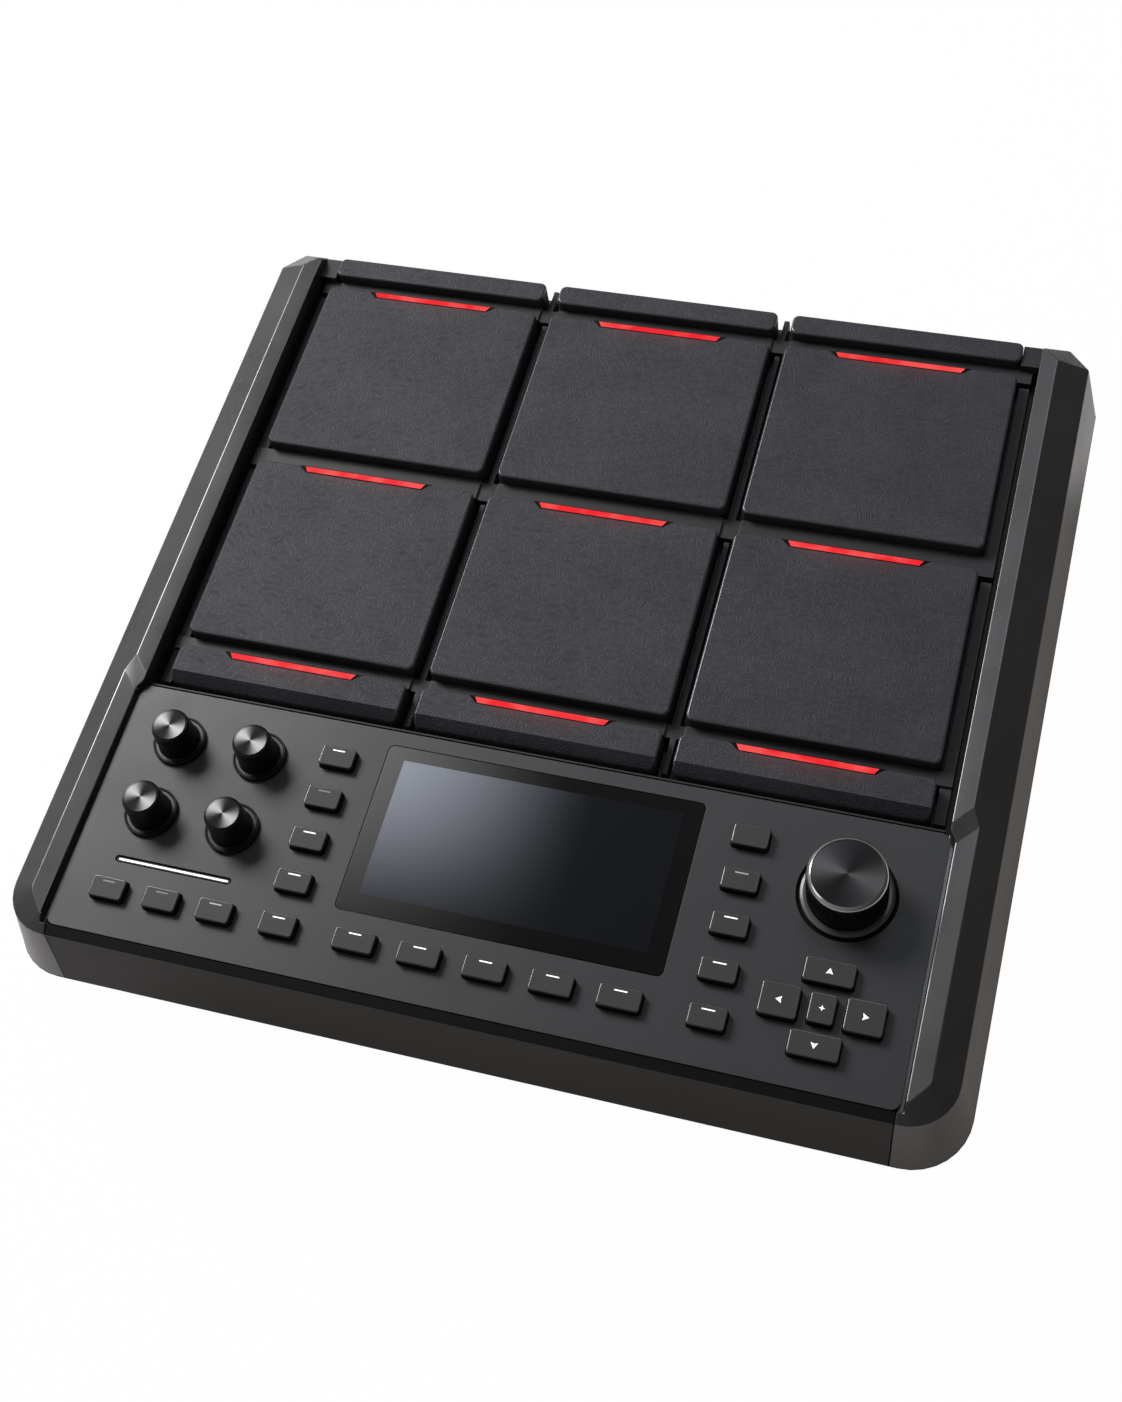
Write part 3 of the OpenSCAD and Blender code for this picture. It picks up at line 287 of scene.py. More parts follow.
def press_in(made, height, deep, strength):
    """Uses a height as bump, so many millimetres deep."""
    bump = add_node(made.node_tree, "ShaderNodeBump", [("Height", height)],
                    strength=strength, distance=deep * MM)
    feed_shader(made, "Normal", bump.outputs[0])


def fine_grain(made, mm, deep, strength):
    """The spark-eroded skin of a moulding: a plain fine noise as bump."""
    press_in(made, noise_on(made.node_tree, mm, 2.0), deep, strength)


def ramp_between(tree, share, dark, light, stops):
    """A colour that goes from dark to light between two stops."""
    made = add_node(tree, "ShaderNodeValToRGB", [("Fac", share)])
    for end, stop, colour in zip(made.color_ramp.elements, stops, (dark, light)):
        end.position = stop
        end.color = (*colour, 1)
    return made.outputs[0]


def cloudy(made, dark, light, mm):
    """Slow patches of lighter and darker colour, as handling leaves on dark plastic."""
    tree = made.node_tree
    feed_shader(made, "Base Color", ramp_between(tree, noise_on(tree, mm, 3.0), dark, light, (0.35, 0.65)))


def worn_gloss(made, low, high, mm):
    """Roughness that drifts between two values."""
    tree = made.node_tree
    feed_shader(made, "Roughness", ranged(tree, noise_on(tree, mm, 4.0), (0.3, 0.7), (low, high)))


def scale_colour(made, amount):
    """Multiplies a finish's colour, plain or cloudy, by a number from another node."""
    colour = shader_of(made).inputs["Base Color"]
    scaled = add_node(made.node_tree, "ShaderNodeVectorMath", [("Scale", amount)], operation="SCALE")
    unscaled = colour.links[0].from_socket if colour.is_linked else colour.default_value[:3]
    feed(made.node_tree, scaled.inputs[0], unscaled)
    feed_shader(made, "Base Color", scaled.outputs[0])


def paint_upward_light_and_shade(made, flat_from, flat_to, change):
    """Multiplies the colour of the faces that look upward: painted light where change is above one, painted
    shade below.
    """
    tree = made.node_tree
    face = add_node(tree, "ShaderNodeNewGeometry").outputs["True Normal"]
    rise = add_node(tree, "ShaderNodeSeparateXYZ", [("Vector", face)]).outputs["Z"]
    scale_colour(made, ranged(tree, rise, (flat_from, flat_to), (1.0, change)))


print("a grain of 0.35 mm has a noise scale of", round(grain_size(0.35)))

# %% [markdown]
# Moulded plastics: the rails are the glossiest, with painted light on their flat tops, the panel is
# satin, the case is a little browner and rougher with painted shade on the strip along its front edge,
# and the deck under the pads is plain. The controls are soft-touch black. One plastic could serve for
# all, but then the unit would look cast in one piece.

# %% Mix the plastics
rail_satin = finish("rail satin", (0.028, 0.028, 0.030), 0.28, specular_ior_level=0.95)
fine_grain(rail_satin, 0.35, 0.02, 0.5)
worn_gloss(rail_satin, 0.25, 0.31, 30)
cloudy(rail_satin, (0.026, 0.026, 0.028), (0.030, 0.030, 0.0325), 50)
# Painted light: the rails' flat tops are made lighter than the rest of the rail.
paint_upward_light_and_shade(rail_satin, 0.985, 0.996, 1.85)
case_matt = finish("case matt", (0.022, 0.0207, 0.0198), 0.5, specular_ior_level=0.25)
fine_grain(case_matt, 0.4, 0.03, 0.6)
cloudy(case_matt, (0.020, 0.0188, 0.0180), (0.024, 0.0226, 0.0217), 60)
# Painted shade: the case's upward faces, the strip along its front among them, are made darker.
paint_upward_light_and_shade(case_matt, 0.55, 0.75, 0.15)
deck_matt = finish("deck matt", (0.028, 0.028, 0.030), 0.48, specular_ior_level=0.22)
fine_grain(deck_matt, 0.35, 0.02, 0.5)
panel_satin = finish("panel satin", (0.029, 0.0295, 0.0325), 0.42, specular_ior_level=0.36)
fine_grain(panel_satin, 0.3, 0.012, 0.5)
worn_gloss(panel_satin, 0.39, 0.46, 25)
key_satin = finish("key satin", (0.047, 0.047, 0.049), 0.46, specular_ior_level=0.18)
fine_grain(key_satin, 0.3, 0.015, 0.5)
key_rim = finish("key rim", (0.045, 0.045, 0.047), 0.25, specular_ior_level=0.9)
worn_gloss(key_rim, 0.22, 0.28, 4)
# The keys' upright sides are darker: painted shade, as they sit in the slot's shadow.
key_side_shade = finish("key side painted shade", (0.010, 0.010, 0.0105), 0.45, specular_ior_level=0.2)
fine_grain(key_side_shade, 0.3, 0.015, 0.5)
control_black = finish("control black", (0.004, 0.004, 0.0042), 0.32, specular_ior_level=0.3)
fine_grain(control_black, 0.25, 0.008, 0.4)
flange_grey = finish("flange grey", (0.055, 0.055, 0.057), 0.34, specular_ior_level=0.7)
fine_grain(flange_grey, 0.25, 0.006, 0.4)
# This black serves the light bars' holders, and as painted shade for the dial's well.
black_and_painted_shade = finish("black and painted shade", (0.002, 0.002, 0.002), 0.7, specular_ior_level=0.1)
fine_grain(black_and_painted_shade, 0.5, 0.02, 0.4)
socket_black = finish("socket black", (0.018, 0.018, 0.019), 0.4)
fine_grain(socket_black, 0.3, 0.015, 0.5)
foot_rubber = finish("foot rubber", (0.02, 0.02, 0.02), 0.8)
fine_grain(foot_rubber, 0.6, 0.05, 0.7)
print("plastics:", len(bpy.data.materials) - 1)

# %% [markdown]
# The pads are moulded rubber with a fine maze of lines, like a finger print. Voronoi cells would look
# like scales, so the lines are the contour lines of soft hills: the sine of a smooth noise goes up and
# down about once in a millimetre. The crests carry painted light and the grooves painted shade, and
# slow cloudy patches break up the large dark faces. Each row gets its own copy with a faint red sheen
# along its light bars. Real light from the bars would need many samples to come out clean, so the sheen
# is worked out from the distance to the bar instead.

# %% Mix the pad rubber
hill_mm, contours, line_deep = 4.5, 10, 0.036
groove_painted_shade, crest_painted_light = 0.8, 1.2
light_half, light_reach = 28 * MM, 2.8 * MM
sheen_reach, sheen_strength = 3.2 * MM, 0.07
lit_rows = ("pad_1", "pad_4", "lower_bar_pads")
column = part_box("pad_2")[0].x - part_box("pad_1")[0].x


def mould_rubber(name):
    """Black pad rubber with its maze of lines."""
    made = finish(name, (0.036, 0.037, 0.044), 0.58, specular_ior_level=0.215)
    tree = made.node_tree
    hills = noise_on(tree, hill_mm, 0.0)
    lines = reckon(tree, "SINE", reckon(tree, "MULTIPLY", hills, 2 * math.pi * contours))
    press_in(made, lines, line_deep, 1.0)
    cloudy(made, (0.0330, 0.0340, 0.0403), (0.0407, 0.0418, 0.0492), 28)
    # Painted shade in the grooves of the lines and painted light on their crests.
    scale_colour(made, ranged(tree, lines, (-1, 1), (groove_painted_shade, crest_painted_light)))
    return made


def red_sheen(made, bar_y):
    """The faint red that a row of light bars throws on the rubber just in front of it."""
    tree = made.node_tree
    place = add_node(tree, "ShaderNodeSeparateXYZ", [("Vector", place_on(tree))]).outputs
    gap = reckon(tree, "SUBTRACT", place["Y"], bar_y)
    fade = reckon(tree, "POWER", math.e, reckon(tree, "DIVIDE", gap, sheen_reach))
    beside = reckon(tree, "ABSOLUTE", reckon(tree, "WRAP", place["X"], column / 2, -column / 2))
    ends = ranged(tree, beside, (light_half * 0.5, light_half * 1.15), (sheen_strength, 0.0),
                  interpolation_type="SMOOTHSTEP")
    shader_of(made).inputs["Emission Color"].default_value = (1.0, 0.02, 0.02, 1)
    feed_shader(made, "Emission Strength", reckon(tree, "MULTIPLY", fade, ends))
    return made


def bar_line(high):
    """Where the light bar at a pad's rear edge begins, rounded so that it can name a row."""
    return round(high.y - light_reach, 4)


def rubber_of(high):
    """The rubber whose red sheen lies at this pad's own rear edge."""
    return rubber_for[bar_line(high)]


pad_rim = finish("pad rim", (0.048, 0.0485, 0.053), 0.28, specular_ior_level=1.0)
worn_gloss(pad_rim, 0.25, 0.32, 6)
rubber_for = {None: mould_rubber("bar rubber")}
for node in lit_rows:
    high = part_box(node)[1]
    rubber_for[bar_line(high)] = red_sheen(mould_rubber(f"{node} rubber"), high.y - light_reach)
print("rubbers:", len(rubber_for), "columns are", round(column / MM, 2), "mm apart")

# %% [markdown]
# The knob caps are turned aluminium: a lathe leaves rings too fine to see, and what one sees is the
# bow-tie of light that they stretch across the disc. A Principled shader with anisotropy and a tangent
# that points out from the middle, across the rings, makes that bow-tie under any lamp. Under soft
# lamps it comes out blurred, so a bow-tie highlight is also painted into the metal's colour along one
# axis, which keeps it clean. The dial's ring, the shafts and the inserts are plain metal.

# %% Mix the metals
def on_vectors(tree, operation, *values):
    """The same as reckon, on vectors; a length or a dot product comes out as one number."""
    result = reckon(tree, operation, *values, kind="ShaderNodeVectorMath")
    return result.node.outputs["Value"] if operation in ("LENGTH", "DOT_PRODUCT") else result


ring_mm = 0.25


def spun(name, colour, rough, around, grain, side, axis, spread, narrow):
    """Turned metal whose fine rings run round a point, with a painted highlight to one side and along an
    axis.
    """
    made = finish(name, colour, rough, metallic=1.0, anisotropic=grain)
    tree = made.node_tree
    flat = on_vectors(tree, "MULTIPLY", on_vectors(tree, "SUBTRACT", place_on(tree), around), (1, 1, 0))
    outward = on_vectors(tree, "NORMALIZE", flat)
    feed_shader(made, "Tangent", outward)
    painted_side_highlight = on_vectors(tree, "DOT_PRODUCT", outward, (*side, 0))
    both_ways = reckon(tree, "ABSOLUTE", on_vectors(tree, "DOT_PRODUCT", outward, (*axis, 0)))
    painted_bow_tie = ranged(tree, reckon(tree, "POWER", both_ways, narrow), (0, 1), (1 - spread, 1 + spread))
    # Painted highlight: the colour is raised to one side and in a bow-tie along the axis.
    scale_colour(made, reckon(tree, "ADD", painted_side_highlight, painted_bow_tie))
    rings = add_node(tree, "ShaderNodeTexNoise", noise_dimensions="1D", scale=grain_size(ring_mm), detail=2.0)
    feed(tree, rings.inputs["W"], on_vectors(tree, "LENGTH", flat))
    press_in(made, rings.outputs[0], 0.01, 0.25)
    return made


bright_ring = finish("bright ring", (0.66, 0.66, 0.67), 0.16, metallic=1.0)
fine_grain(bright_ring, 0.2, 0.004, 0.4)
steel = finish("plated steel", (0.45, 0.45, 0.46), 0.35, metallic=1.0)
fine_grain(steel, 0.3, 0.01, 0.4)
brass = finish("turned brass", (0.60, 0.42, 0.18), 0.3, metallic=1.0)
fine_grain(brass, 0.3, 0.01, 0.4)
print("plain metals:", [coat.name for coat in (bright_ring, steel, brass)])

# %% [markdown]
# The light bars are red diffusers with a slightly uneven glow, and the status line and the key marks
# are white. Lamps inside clear plastic could light them, but a glow on the surface is clean and quick.
# Only the camera sees the red at full strength, because the light that the bars cast is in the rubber
# already. The boards and sensors inside get their finishes here too.

# %% Mix the lights and the boards
def lit(name, colour, strength, body):
    made = finish(name, body, 0.35, emission_strength=strength)
    shader_of(made).inputs["Emission Color"].default_value = (*colour, 1)
    return made


cast_share = 0.1
red_glow = lit("red light", (0.90, 0.044, 0.046), 1.0, (0.02, 0.001, 0.001))
tree = red_glow.node_tree
uneven = ramp_between(tree, noise_on(tree, 9, 1.0), (0.87, 0.018, 0.026), (0.93, 0.085, 0.082), (0.38, 0.66))
feed_shader(red_glow, "Emission Color", uneven)
shader_of(red_glow).inputs["Specular IOR Level"].default_value = 0.05
camera_ray = add_node(tree, "ShaderNodeLightPath").outputs["Is Camera Ray"]
feed_shader(red_glow, "Emission Strength", ranged(tree, camera_ray, (0, 1), (cast_share, 1)))
white_glow = lit("white light", (1.0, 0.99, 0.96), 0.85, (0.6, 0.6, 0.6))
mark_bright = lit("bright mark", (1.0, 1.0, 1.0), 0.75, (0.7, 0.7, 0.7))
mark_dim = lit("dim mark", (1.0, 1.0, 1.0), 0.05, (0.14, 0.14, 0.14))
mark_half = lit("half-lit mark", (1.0, 1.0, 1.0), 0.16, (0.3, 0.3, 0.3))
board_green = finish("board green", (0.02, 0.09, 0.04), 0.45)
fine_grain(board_green, 1.2, 0.04, 0.4)
sensor_film = finish("sensor film", (0.18, 0.14, 0.08), 0.5)
fine_grain(sensor_film, 1.5, 0.05, 0.4)
print("finishes:", len(bpy.data.materials))

# %% [markdown]
# ## Softening the moulded solids
# On the real unit round faces run smoothly and flat ones stay flat. Shade Smooth alone would smear
# light over the flat faces, so a small node group smooths the faces and keeps the edges above an angle
# sharp, and a Weighted Normal modifier lets the large faces decide.

# %% Shade round faces smooth
def smooth_group(angle):
    name = f"smooth below {angle} degrees"
    group = bpy.data.node_groups.get(name)
    if group:
        return group
    group = bpy.data.node_groups.new(name, "GeometryNodeTree")
    for way in ("INPUT", "OUTPUT"):
        group.interface.new_socket("Geometry", in_out=way, socket_type="NodeSocketGeometry")
    into = add_node(group, "NodeGroupInput").outputs[0]
    faces = add_node(group, "GeometryNodeSetShadeSmooth", [("Geometry", into)], domain="FACE")
    bend = add_node(group, "GeometryNodeInputMeshEdgeAngle").outputs["Unsigned Angle"]
    sharp = reckon(group, "GREATER_THAN", bend, math.radians(angle))
    edges = add_node(group, "GeometryNodeSetShadeSmooth",
                     [("Geometry", faces.outputs[0]), ("Selection", sharp)],
                     domain="EDGE", shade_smooth=False)
    add_node(group, "NodeGroupOutput", [(0, edges.outputs[0])])
    return group


def keep_flat(obj):
    """Lets large faces decide the shading at their edges, so that flat faces look flat."""
    weigh = obj.modifiers.new("flat faces stay flat", "WEIGHTED_NORMAL")
    weigh.keep_sharp = True
    weigh.weight = 100


sharp_bend, rail_bend, shade_margin = 28, 16, 4
print("shading groups:", [smooth_group(bend + shade_margin).name for bend in (sharp_bend, rail_bend)])

# %% [markdown]
# A moulded edge is never knife sharp: its small radius catches the light as a thin line, and these
# lines draw the whole object. The edges could be rounded by hand, but the solids are imported as
# triangles, so first their corners are welded and their flat triangles joined, and then a bevel rounds
# each sharp edge. All of it is modifiers, so the solids themselves stay as drawn.

# %% Soften the solids
weld_reach, flat_bend = 0.004 * MM, 0.4


def soften(node, radius, coat, from_angle):
    """Rounds a solid's sharp edges by radius in mm and gives it its finish."""
    obj = nodes[node]
    weld = obj.modifiers.new("weld corners", "WELD")
    weld.merge_threshold = weld_reach
    if radius:
        flat = obj.modifiers.new("join flat faces", "DECIMATE")
        flat.decimate_type = "DISSOLVE"
        flat.angle_limit = math.radians(flat_bend)
        edge = obj.modifiers.new("round edges", "BEVEL")
        edge.width = radius * MM
        edge.segments = 2
        edge.limit_method = "ANGLE"
        edge.angle_limit = math.radians(from_angle)
        edge.use_clamp_overlap = False
    shade = obj.modifiers.new("smooth shading", "NODES")
    shade.node_group = smooth_group(from_angle + shade_margin)
    keep_flat(obj)
    obj.data.materials.clear()
    obj.data.materials.append(coat)


for name, radius, coat in (
        ("bottom_case", 0, case_matt), ("left_side_rail", 0.45, rail_satin),
        ("right_side_rail", 0.45, rail_satin), ("pad_deck", 0.4, deck_matt),
        ("control_panel", 0.2, panel_satin), ("rear_sockets", 0, socket_black),
        ("rubber_feet", 0, foot_rubber), ("main_board", 0, board_green), ("panel_board", 0, board_green),
        ("pad_sensors", 0, sensor_film), ("rotary_controls", 0, steel), ("key_switches", 0, socket_black),
        ("case_screws", 0, steel), ("stand_inserts", 0, brass), ("power_button", 0.3, control_black),
        ("status_light_bar", 0, control_black), ("display_module", 0, socket_black)):
    soften(name, radius, coat, rail_bend if coat is rail_satin else sharp_bend)
print("solids softened:", sum(bool(o.modifiers) for o in nodes.values()))

# %% [markdown]
# ## Building moulded slabs
# Pads, bars and keys are all slabs with round corners. Seen from above they are rectangles, some with
# a notch for the light bar, so each starts as an outline. A curve object could hold it, but a plain
# list of points is easier to cut and to move.

# %% Draw outlines
def round_rectangle(w, d, r, steps=7):
    points = []
    for sx, sy, start in ((1, 1, 0), (-1, 1, 90), (-1, -1, 180), (1, -1, 270)):
        for k in range(steps + 1):
            a = math.radians(start + 90 * k / steps)
            points.append((sx * (w / 2 - r) + r * math.cos(a), sy * (d / 2 - r) + r * math.sin(a)))
    return points


def notched(w, d, r, notch_l, notch_d, slant, steps=7):
    """A round rectangle with a trapezium let in to its rear edge."""
    points = round_rectangle(w, d, r, steps)
    half, rear = notch_l / 2, d / 2
    cut = [(half + slant, rear), (half, rear - notch_d), (-half, rear - notch_d), (-half - slant, rear)]
    return points[:steps + 1] + cut + points[steps + 1:]


def moved(outline, x, y, unit=1):
    """An outline round another point; unit is MM for an outline in millimetres."""
    return [(x + px * unit, y + py * unit) for px, py in outline]


print("points of a round rectangle:", len(round_rectangle(2, 1, 0.1)))

# %% [markdown]
# A slab has a rounded upper edge too. A bevelled cube would do for one of them, but not with a notch,
# so the outline is raised to a prism, which may be cut by a plane, and its upper edges are rounded
# last. The rounded edge is smoother than the top, as the mould's parting edge leaves it, so its faces
# can take a second finish.

# %% Raise slabs
def raise_prism(bm, outline, low, high):
    base = [bm.verts.new((x, y, low)) for x, y in outline]
    top = [bm.verts.new((x, y, high)) for x, y in outline]
    bm.faces.new(base[::-1])
    bm.faces.new(top)
    for i in range(len(base)):
        j = (i + 1) % len(base)
        bm.faces.new((base[i], base[j], top[j], top[i]))


def round_over(bm, above, radius, steps):
    """Rounds the edges between an upward face and a side."""
    chosen = []
    for edge in bm.edges:
        if len(edge.link_faces) != 2 or min(v.co.z for v in edge.verts) < above:
            continue
        ups = sorted(f.normal.z for f in edge.link_faces)
        if ups[0] < 0.3 and ups[1] > 0.3:
            chosen.append(edge)
    bmesh.ops.bevel(bm, geom=chosen, offset=radius, segments=steps, profile=0.5, affect="EDGES",
                    clamp_overlap=False)


def done(bm, name, coat, angle=40):
    """Turns the mesh under construction into an object with its finish."""
    bmesh.ops.recalc_face_normals(bm, faces=bm.faces)
    mesh = bpy.data.meshes.new(name)
    bm.to_mesh(mesh)
    bm.free()
    mesh.shade_smooth()
    mesh.set_sharp_from_angle(angle=math.radians(angle))
    mesh.materials.append(coat)
    made = link_mesh(name, mesh)
    keep_flat(made)
    return made


def plate(name, outline, low, high, coat):
    """A thin prism with plain edges."""
    bm = bmesh.new()
    raise_prism(bm, outline, low, high)
    return done(bm, name, coat)


def slab(name, low, high, outline, coat, radius, steps=5, cuts=()):
    """A prism over an outline round its middle, with its upper edges rounded."""
    bm = bmesh.new()
    centre = (low + high) / 2
    raise_prism(bm, moved(outline, centre.x, centre.y), low.z, high.z)
    for point, normal in cuts:
        geom = bm.verts[:] + bm.edges[:] + bm.faces[:]
        cut = bmesh.ops.bisect_plane(bm, geom=geom, plane_co=point, plane_no=normal, clear_outer=True)
        rim = [e for e in cut["geom_cut"] if isinstance(e, bmesh.types.BMEdge)]
        bmesh.ops.contextual_create(bm, geom=rim)
    bm.normal_update()
    round_over(bm, (low.z + high.z) / 2, radius, steps)
    return done(bm, name, coat)


def paint_faces(obj, coat, picked):
    """Gives one more finish to the faces that a test picks."""
    obj.data.materials.append(coat)
    for face in obj.data.polygons:
        if picked(face):
            face.material_index = len(obj.data.materials) - 1


def polish_rim(obj, rim, above):
    """Gives the rounded edge its own, smoother finish."""
    paint_faces(obj, rim, lambda face: face.center.z > above and 0.1 < face.normal.z < 0.985)


hair = 0.1 * MM
pad_corner, pad_round, rim_depth = 3 * MM, 1.3 * MM, 3 * MM
print("pad corners have a radius of", round(pad_corner / MM, 1), "mm")

# %% [markdown]
# ## The large pads
# Each pad is one moulding of firm rubber, notched at its rear edge so that the light bar shows. The
# solid has the same outline with flat facets for its rounded edge. Here the edge is a true round of
# five steps, which is what draws the bright line along the left and rear of every pad.

# %% Mould the large pads
pad_count = 6
notch_l, notch_d, notch_slant = 56.6 * MM, 3.1 * MM, 3.7 * MM


def body_for(node):
    return nodes[node]["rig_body"]


def stands_for(obj, node):
    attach(obj, body_for(node))
    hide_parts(node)


def lit_outline(low, high):
    """The outline of a pad with a light bar at its rear edge."""
    return notched(high.x - low.x, high.y - low.y, pad_corner, notch_l, notch_d, notch_slant)


for i in range(1, pad_count + 1):
    low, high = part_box(f"pad_{i}")
    pad = slab(f"large_pad_{i}", low, high, lit_outline(low, high), rubber_of(high), pad_round)
    polish_rim(pad, pad_rim, high.z - rim_depth)
    stands_for(pad, f"pad_{i}")
print("large pads:", pad_count, "with", len(pad.data.polygons), "faces each")

# %% [markdown]
# ## The bar pads
# Three narrow bars close the deck at the rear and three wider ones at the front. The front bars have
# a slope towards the panel, made by cutting the prism with a plane before its edges are rounded.
# One solid holds all three bars of a row, so the three meshes are joined to stand for it together.

# %% Mould the bar pads
def split_columns(node, count=3):
    """Low and high corner of each of the equal bars that share one solid."""
    low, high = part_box(node)
    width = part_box("pad_1")[1].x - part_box("pad_1")[0].x
    pitch = (high.x - low.x - width) / (count - 1)
    return [(Vector((low.x + c * pitch, low.y, low.z)), Vector((low.x + c * pitch + width, high.y, high.z)))
            for c in range(count)]


def joined(name, parts):
    """One object from several, with the finish of the first."""
    bm = bmesh.new()
    for part in parts:
        bm.from_mesh(part.data)
    coat = parts[0].data.materials[0]
    for part in parts:
        bpy.data.objects.remove(part)
    return done(bm, name, coat)


rear_bars = []
for low, high in split_columns("upper_bar_pads"):
    outline = round_rectangle(high.x - low.x, high.y - low.y, pad_corner)
    rear_bars.append(slab("rear_bar", low, high, outline, rubber_for[None], pad_round))
rear_row = joined("rear_bars", rear_bars)
polish_rim(rear_row, pad_rim, high.z - rim_depth)
stands_for(rear_row, "upper_bar_pads")

slope_d, slope_h = 4.5 * MM, 5 * MM
front_round, front_rim_depth = 1.1 * MM, 1.15 * MM
front_bars = []
for low, high in split_columns("lower_bar_pads"):
    slope = ((0, low.y + slope_d, high.z), (0, -slope_h, slope_d))
    front_bars.append(slab("front_bar", low, high, lit_outline(low, high), rubber_of(high), front_round,
                           cuts=[slope]))
front_row = joined("front_bars", front_bars)
polish_rim(front_row, pad_rim, high.z - front_rim_depth)
stands_for(front_row, "lower_bar_pads")
print("bar pads:", len(rear_bars), "and", len(front_bars))

# %% [markdown]
# At both ends of the rear row a small block closes the deck between the last bar and the rail. A cube
# with a bevel would round its foot too, which stands on the deck, so it is drawn as a slab of the deck's
# own plastic with a small round on its top.

# %% Close the rear corners
bars_low, bars_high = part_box("upper_bar_pads")
deck_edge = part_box("pad_deck")[1].x
floor_drop = 2.0 * MM
deck_floor = bars_low.z - floor_drop
bar_gap, rail_lap = 0.15 * MM, 0.25 * MM
block_front, block_rear, block_drop = 1.0 * MM, 0.3 * MM, 2.0 * MM
block_corner, block_round = 0.4 * MM, 0.3 * MM
for side_name, side in (("left", -1), ("right", 1)):
    inner = side * (bars_high.x + bar_gap)
    outer = side * (deck_edge + rail_lap)
    block_low = Vector((min(inner, outer), bars_low.y - block_front, deck_floor))
    block_high = Vector((max(inner, outer), bars_high.y - block_rear, bars_high.z - block_drop))
    size = block_high - block_low
    block = slab(f"{side_name}_end_block", block_low, block_high,
                 round_rectangle(size.x, size.y, block_corner, 2), deck_matt, block_round, 2)
    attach(block, body_for("pad_deck"))
print("end blocks are", round(size.x / MM, 1), "mm wide")

# %% [markdown]
# A thin upright lip of the deck runs along the rear edge of the panel. From above it is only a fine
# line with a dark gap on both sides, but it closes the joint between deck and panel. A painted line
# would vanish from the side, so it is one long narrow slab that stands on the deck's floor, a little
# lower than the panel.

# %% Stand the lip behind the panel
panel_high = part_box("control_panel")[1]
lip_end, lip_gap, lip_t = 1.2 * MM, 0.85 * MM, 0.9 * MM
lip_foot, lip_drop = 0.1 * MM, 0.7 * MM
lip_corner, lip_round = 0.3 * MM, 0.25 * MM
lip_low = Vector((-deck_edge + lip_end, panel_high.y + lip_gap, deck_floor - lip_foot))
lip_high = Vector((deck_edge - lip_end, panel_high.y + lip_gap + lip_t, panel_high.z - lip_drop))
size = lip_high - lip_low
deck_lip = slab("deck_lip", lip_low, lip_high, round_rectangle(size.x, size.y, lip_corner, 2),
                deck_matt, lip_round, 2)
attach(deck_lip, body_for("pad_deck"))
print("lip stands", round(size.z / MM, 1), "mm high")

# %% [markdown]
# ## The light bars
# Each light bar is a clear red strip that sits in its notch, a little short of the pad's rear edge, on
# a black holder. One strip could be copied nine times with an array, but the three rows aren't evenly
# spaced, so the nine are drawn in one loop. The holder is lower, and leaves the thin black line that
# sets the red off from the deck behind it.

# %% Set the light bars
low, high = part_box("pad_light_bars")
strip_rear, strip_lean, strip_sunk = -0.05 * MM, 0.6, 0.2 * MM
holder_gap, holder_rear, holder_drop = 0.1 * MM, 0.55 * MM, 0.45 * MM
holder_half, holder_lean = notch_l / 2 - holder_gap, notch_slant / notch_d
holder_top = high.z - holder_drop


def trapezium(x, y, front, rear, half, lean):
    wide = half + lean * (rear - front)
    return [(x - half, y + front), (x + half, y + front), (x + wide, y + rear), (x - wide, y + rear)]


edges = [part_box(node)[1].y for node in lit_rows]
bm = bmesh.new()
for c in (-1, 0, 1):
    for edge_y in edges:
        strip = trapezium(c * column, edge_y, -light_reach, strip_rear, light_half, strip_lean)
        raise_prism(bm, strip, holder_top - strip_sunk, high.z)
        holder = trapezium(c * column, edge_y, holder_gap - notch_d, holder_rear, holder_half, holder_lean)
        raise_prism(bm, holder, low.z, holder_top)
light_strips = done(bm, "light_strips", red_glow)
paint_faces(light_strips, black_and_painted_shade, lambda face: face.center.z < high.z - hair)
stands_for(light_strips, "pad_light_bars")
print("light strips:", 3 * len(edges))

# %% [markdown]
# ## Keys and their marks
# A key is a small satin block with crisp round edges, on a lip that keeps it from falling out of the
# panel. One key could be copied to every place, but they differ in size, so each is drawn to its own
# solid. The rounded edge is glossy from touch, and the sides carry painted shade, as they sit in the
# slot's shadow.

# %% Cut the keys
key_corner, key_round, key_rim_depth = 1.3 * MM, 0.6 * MM, 1 * MM
key_lip, key_lip_t = 0.8 * MM, 1.0 * MM
key_names = [n for n in nodes if n.endswith("_key") or "_key_" in n]


def mould_key(node):
    low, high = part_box(node)
    centre = (low + high) / 2
    w, d = high.x - low.x, high.y - low.y
    lip_edge = round_rectangle(w, d, key_corner + key_lip)
    cap_edge = round_rectangle(w - 2 * key_lip, d - 2 * key_lip, key_corner)
    bm = bmesh.new()
    raise_prism(bm, moved(lip_edge, centre.x, centre.y), low.z, low.z + key_lip_t)
    raise_prism(bm, moved(cap_edge, centre.x, centre.y), low.z + key_lip_t * 0.5, high.z)
    bm.normal_update()
    round_over(bm, high.z - hair, key_round, 3)
    made = done(bm, node.replace("_key", "_cap"), key_satin)
    polish_rim(made, key_rim, high.z - key_rim_depth)
    # Painted shade on the key's upright sides.
    paint_faces(made, key_side_shade, lambda face: abs(face.normal.z) < 0.1)
    stands_for(made, node)


for node in key_names:
    mould_key(node)
print("keys:", len(key_names))

# %% [markdown]
# Most keys carry a short lamp window near the rear edge, and some windows are lit and some are dark.
# The five navigation keys carry arrows and a star instead. The marks could be painted in the keys'
# finish, but on the real unit they are clear inlays, so each is a thin plate of its own that rides
# with its key.

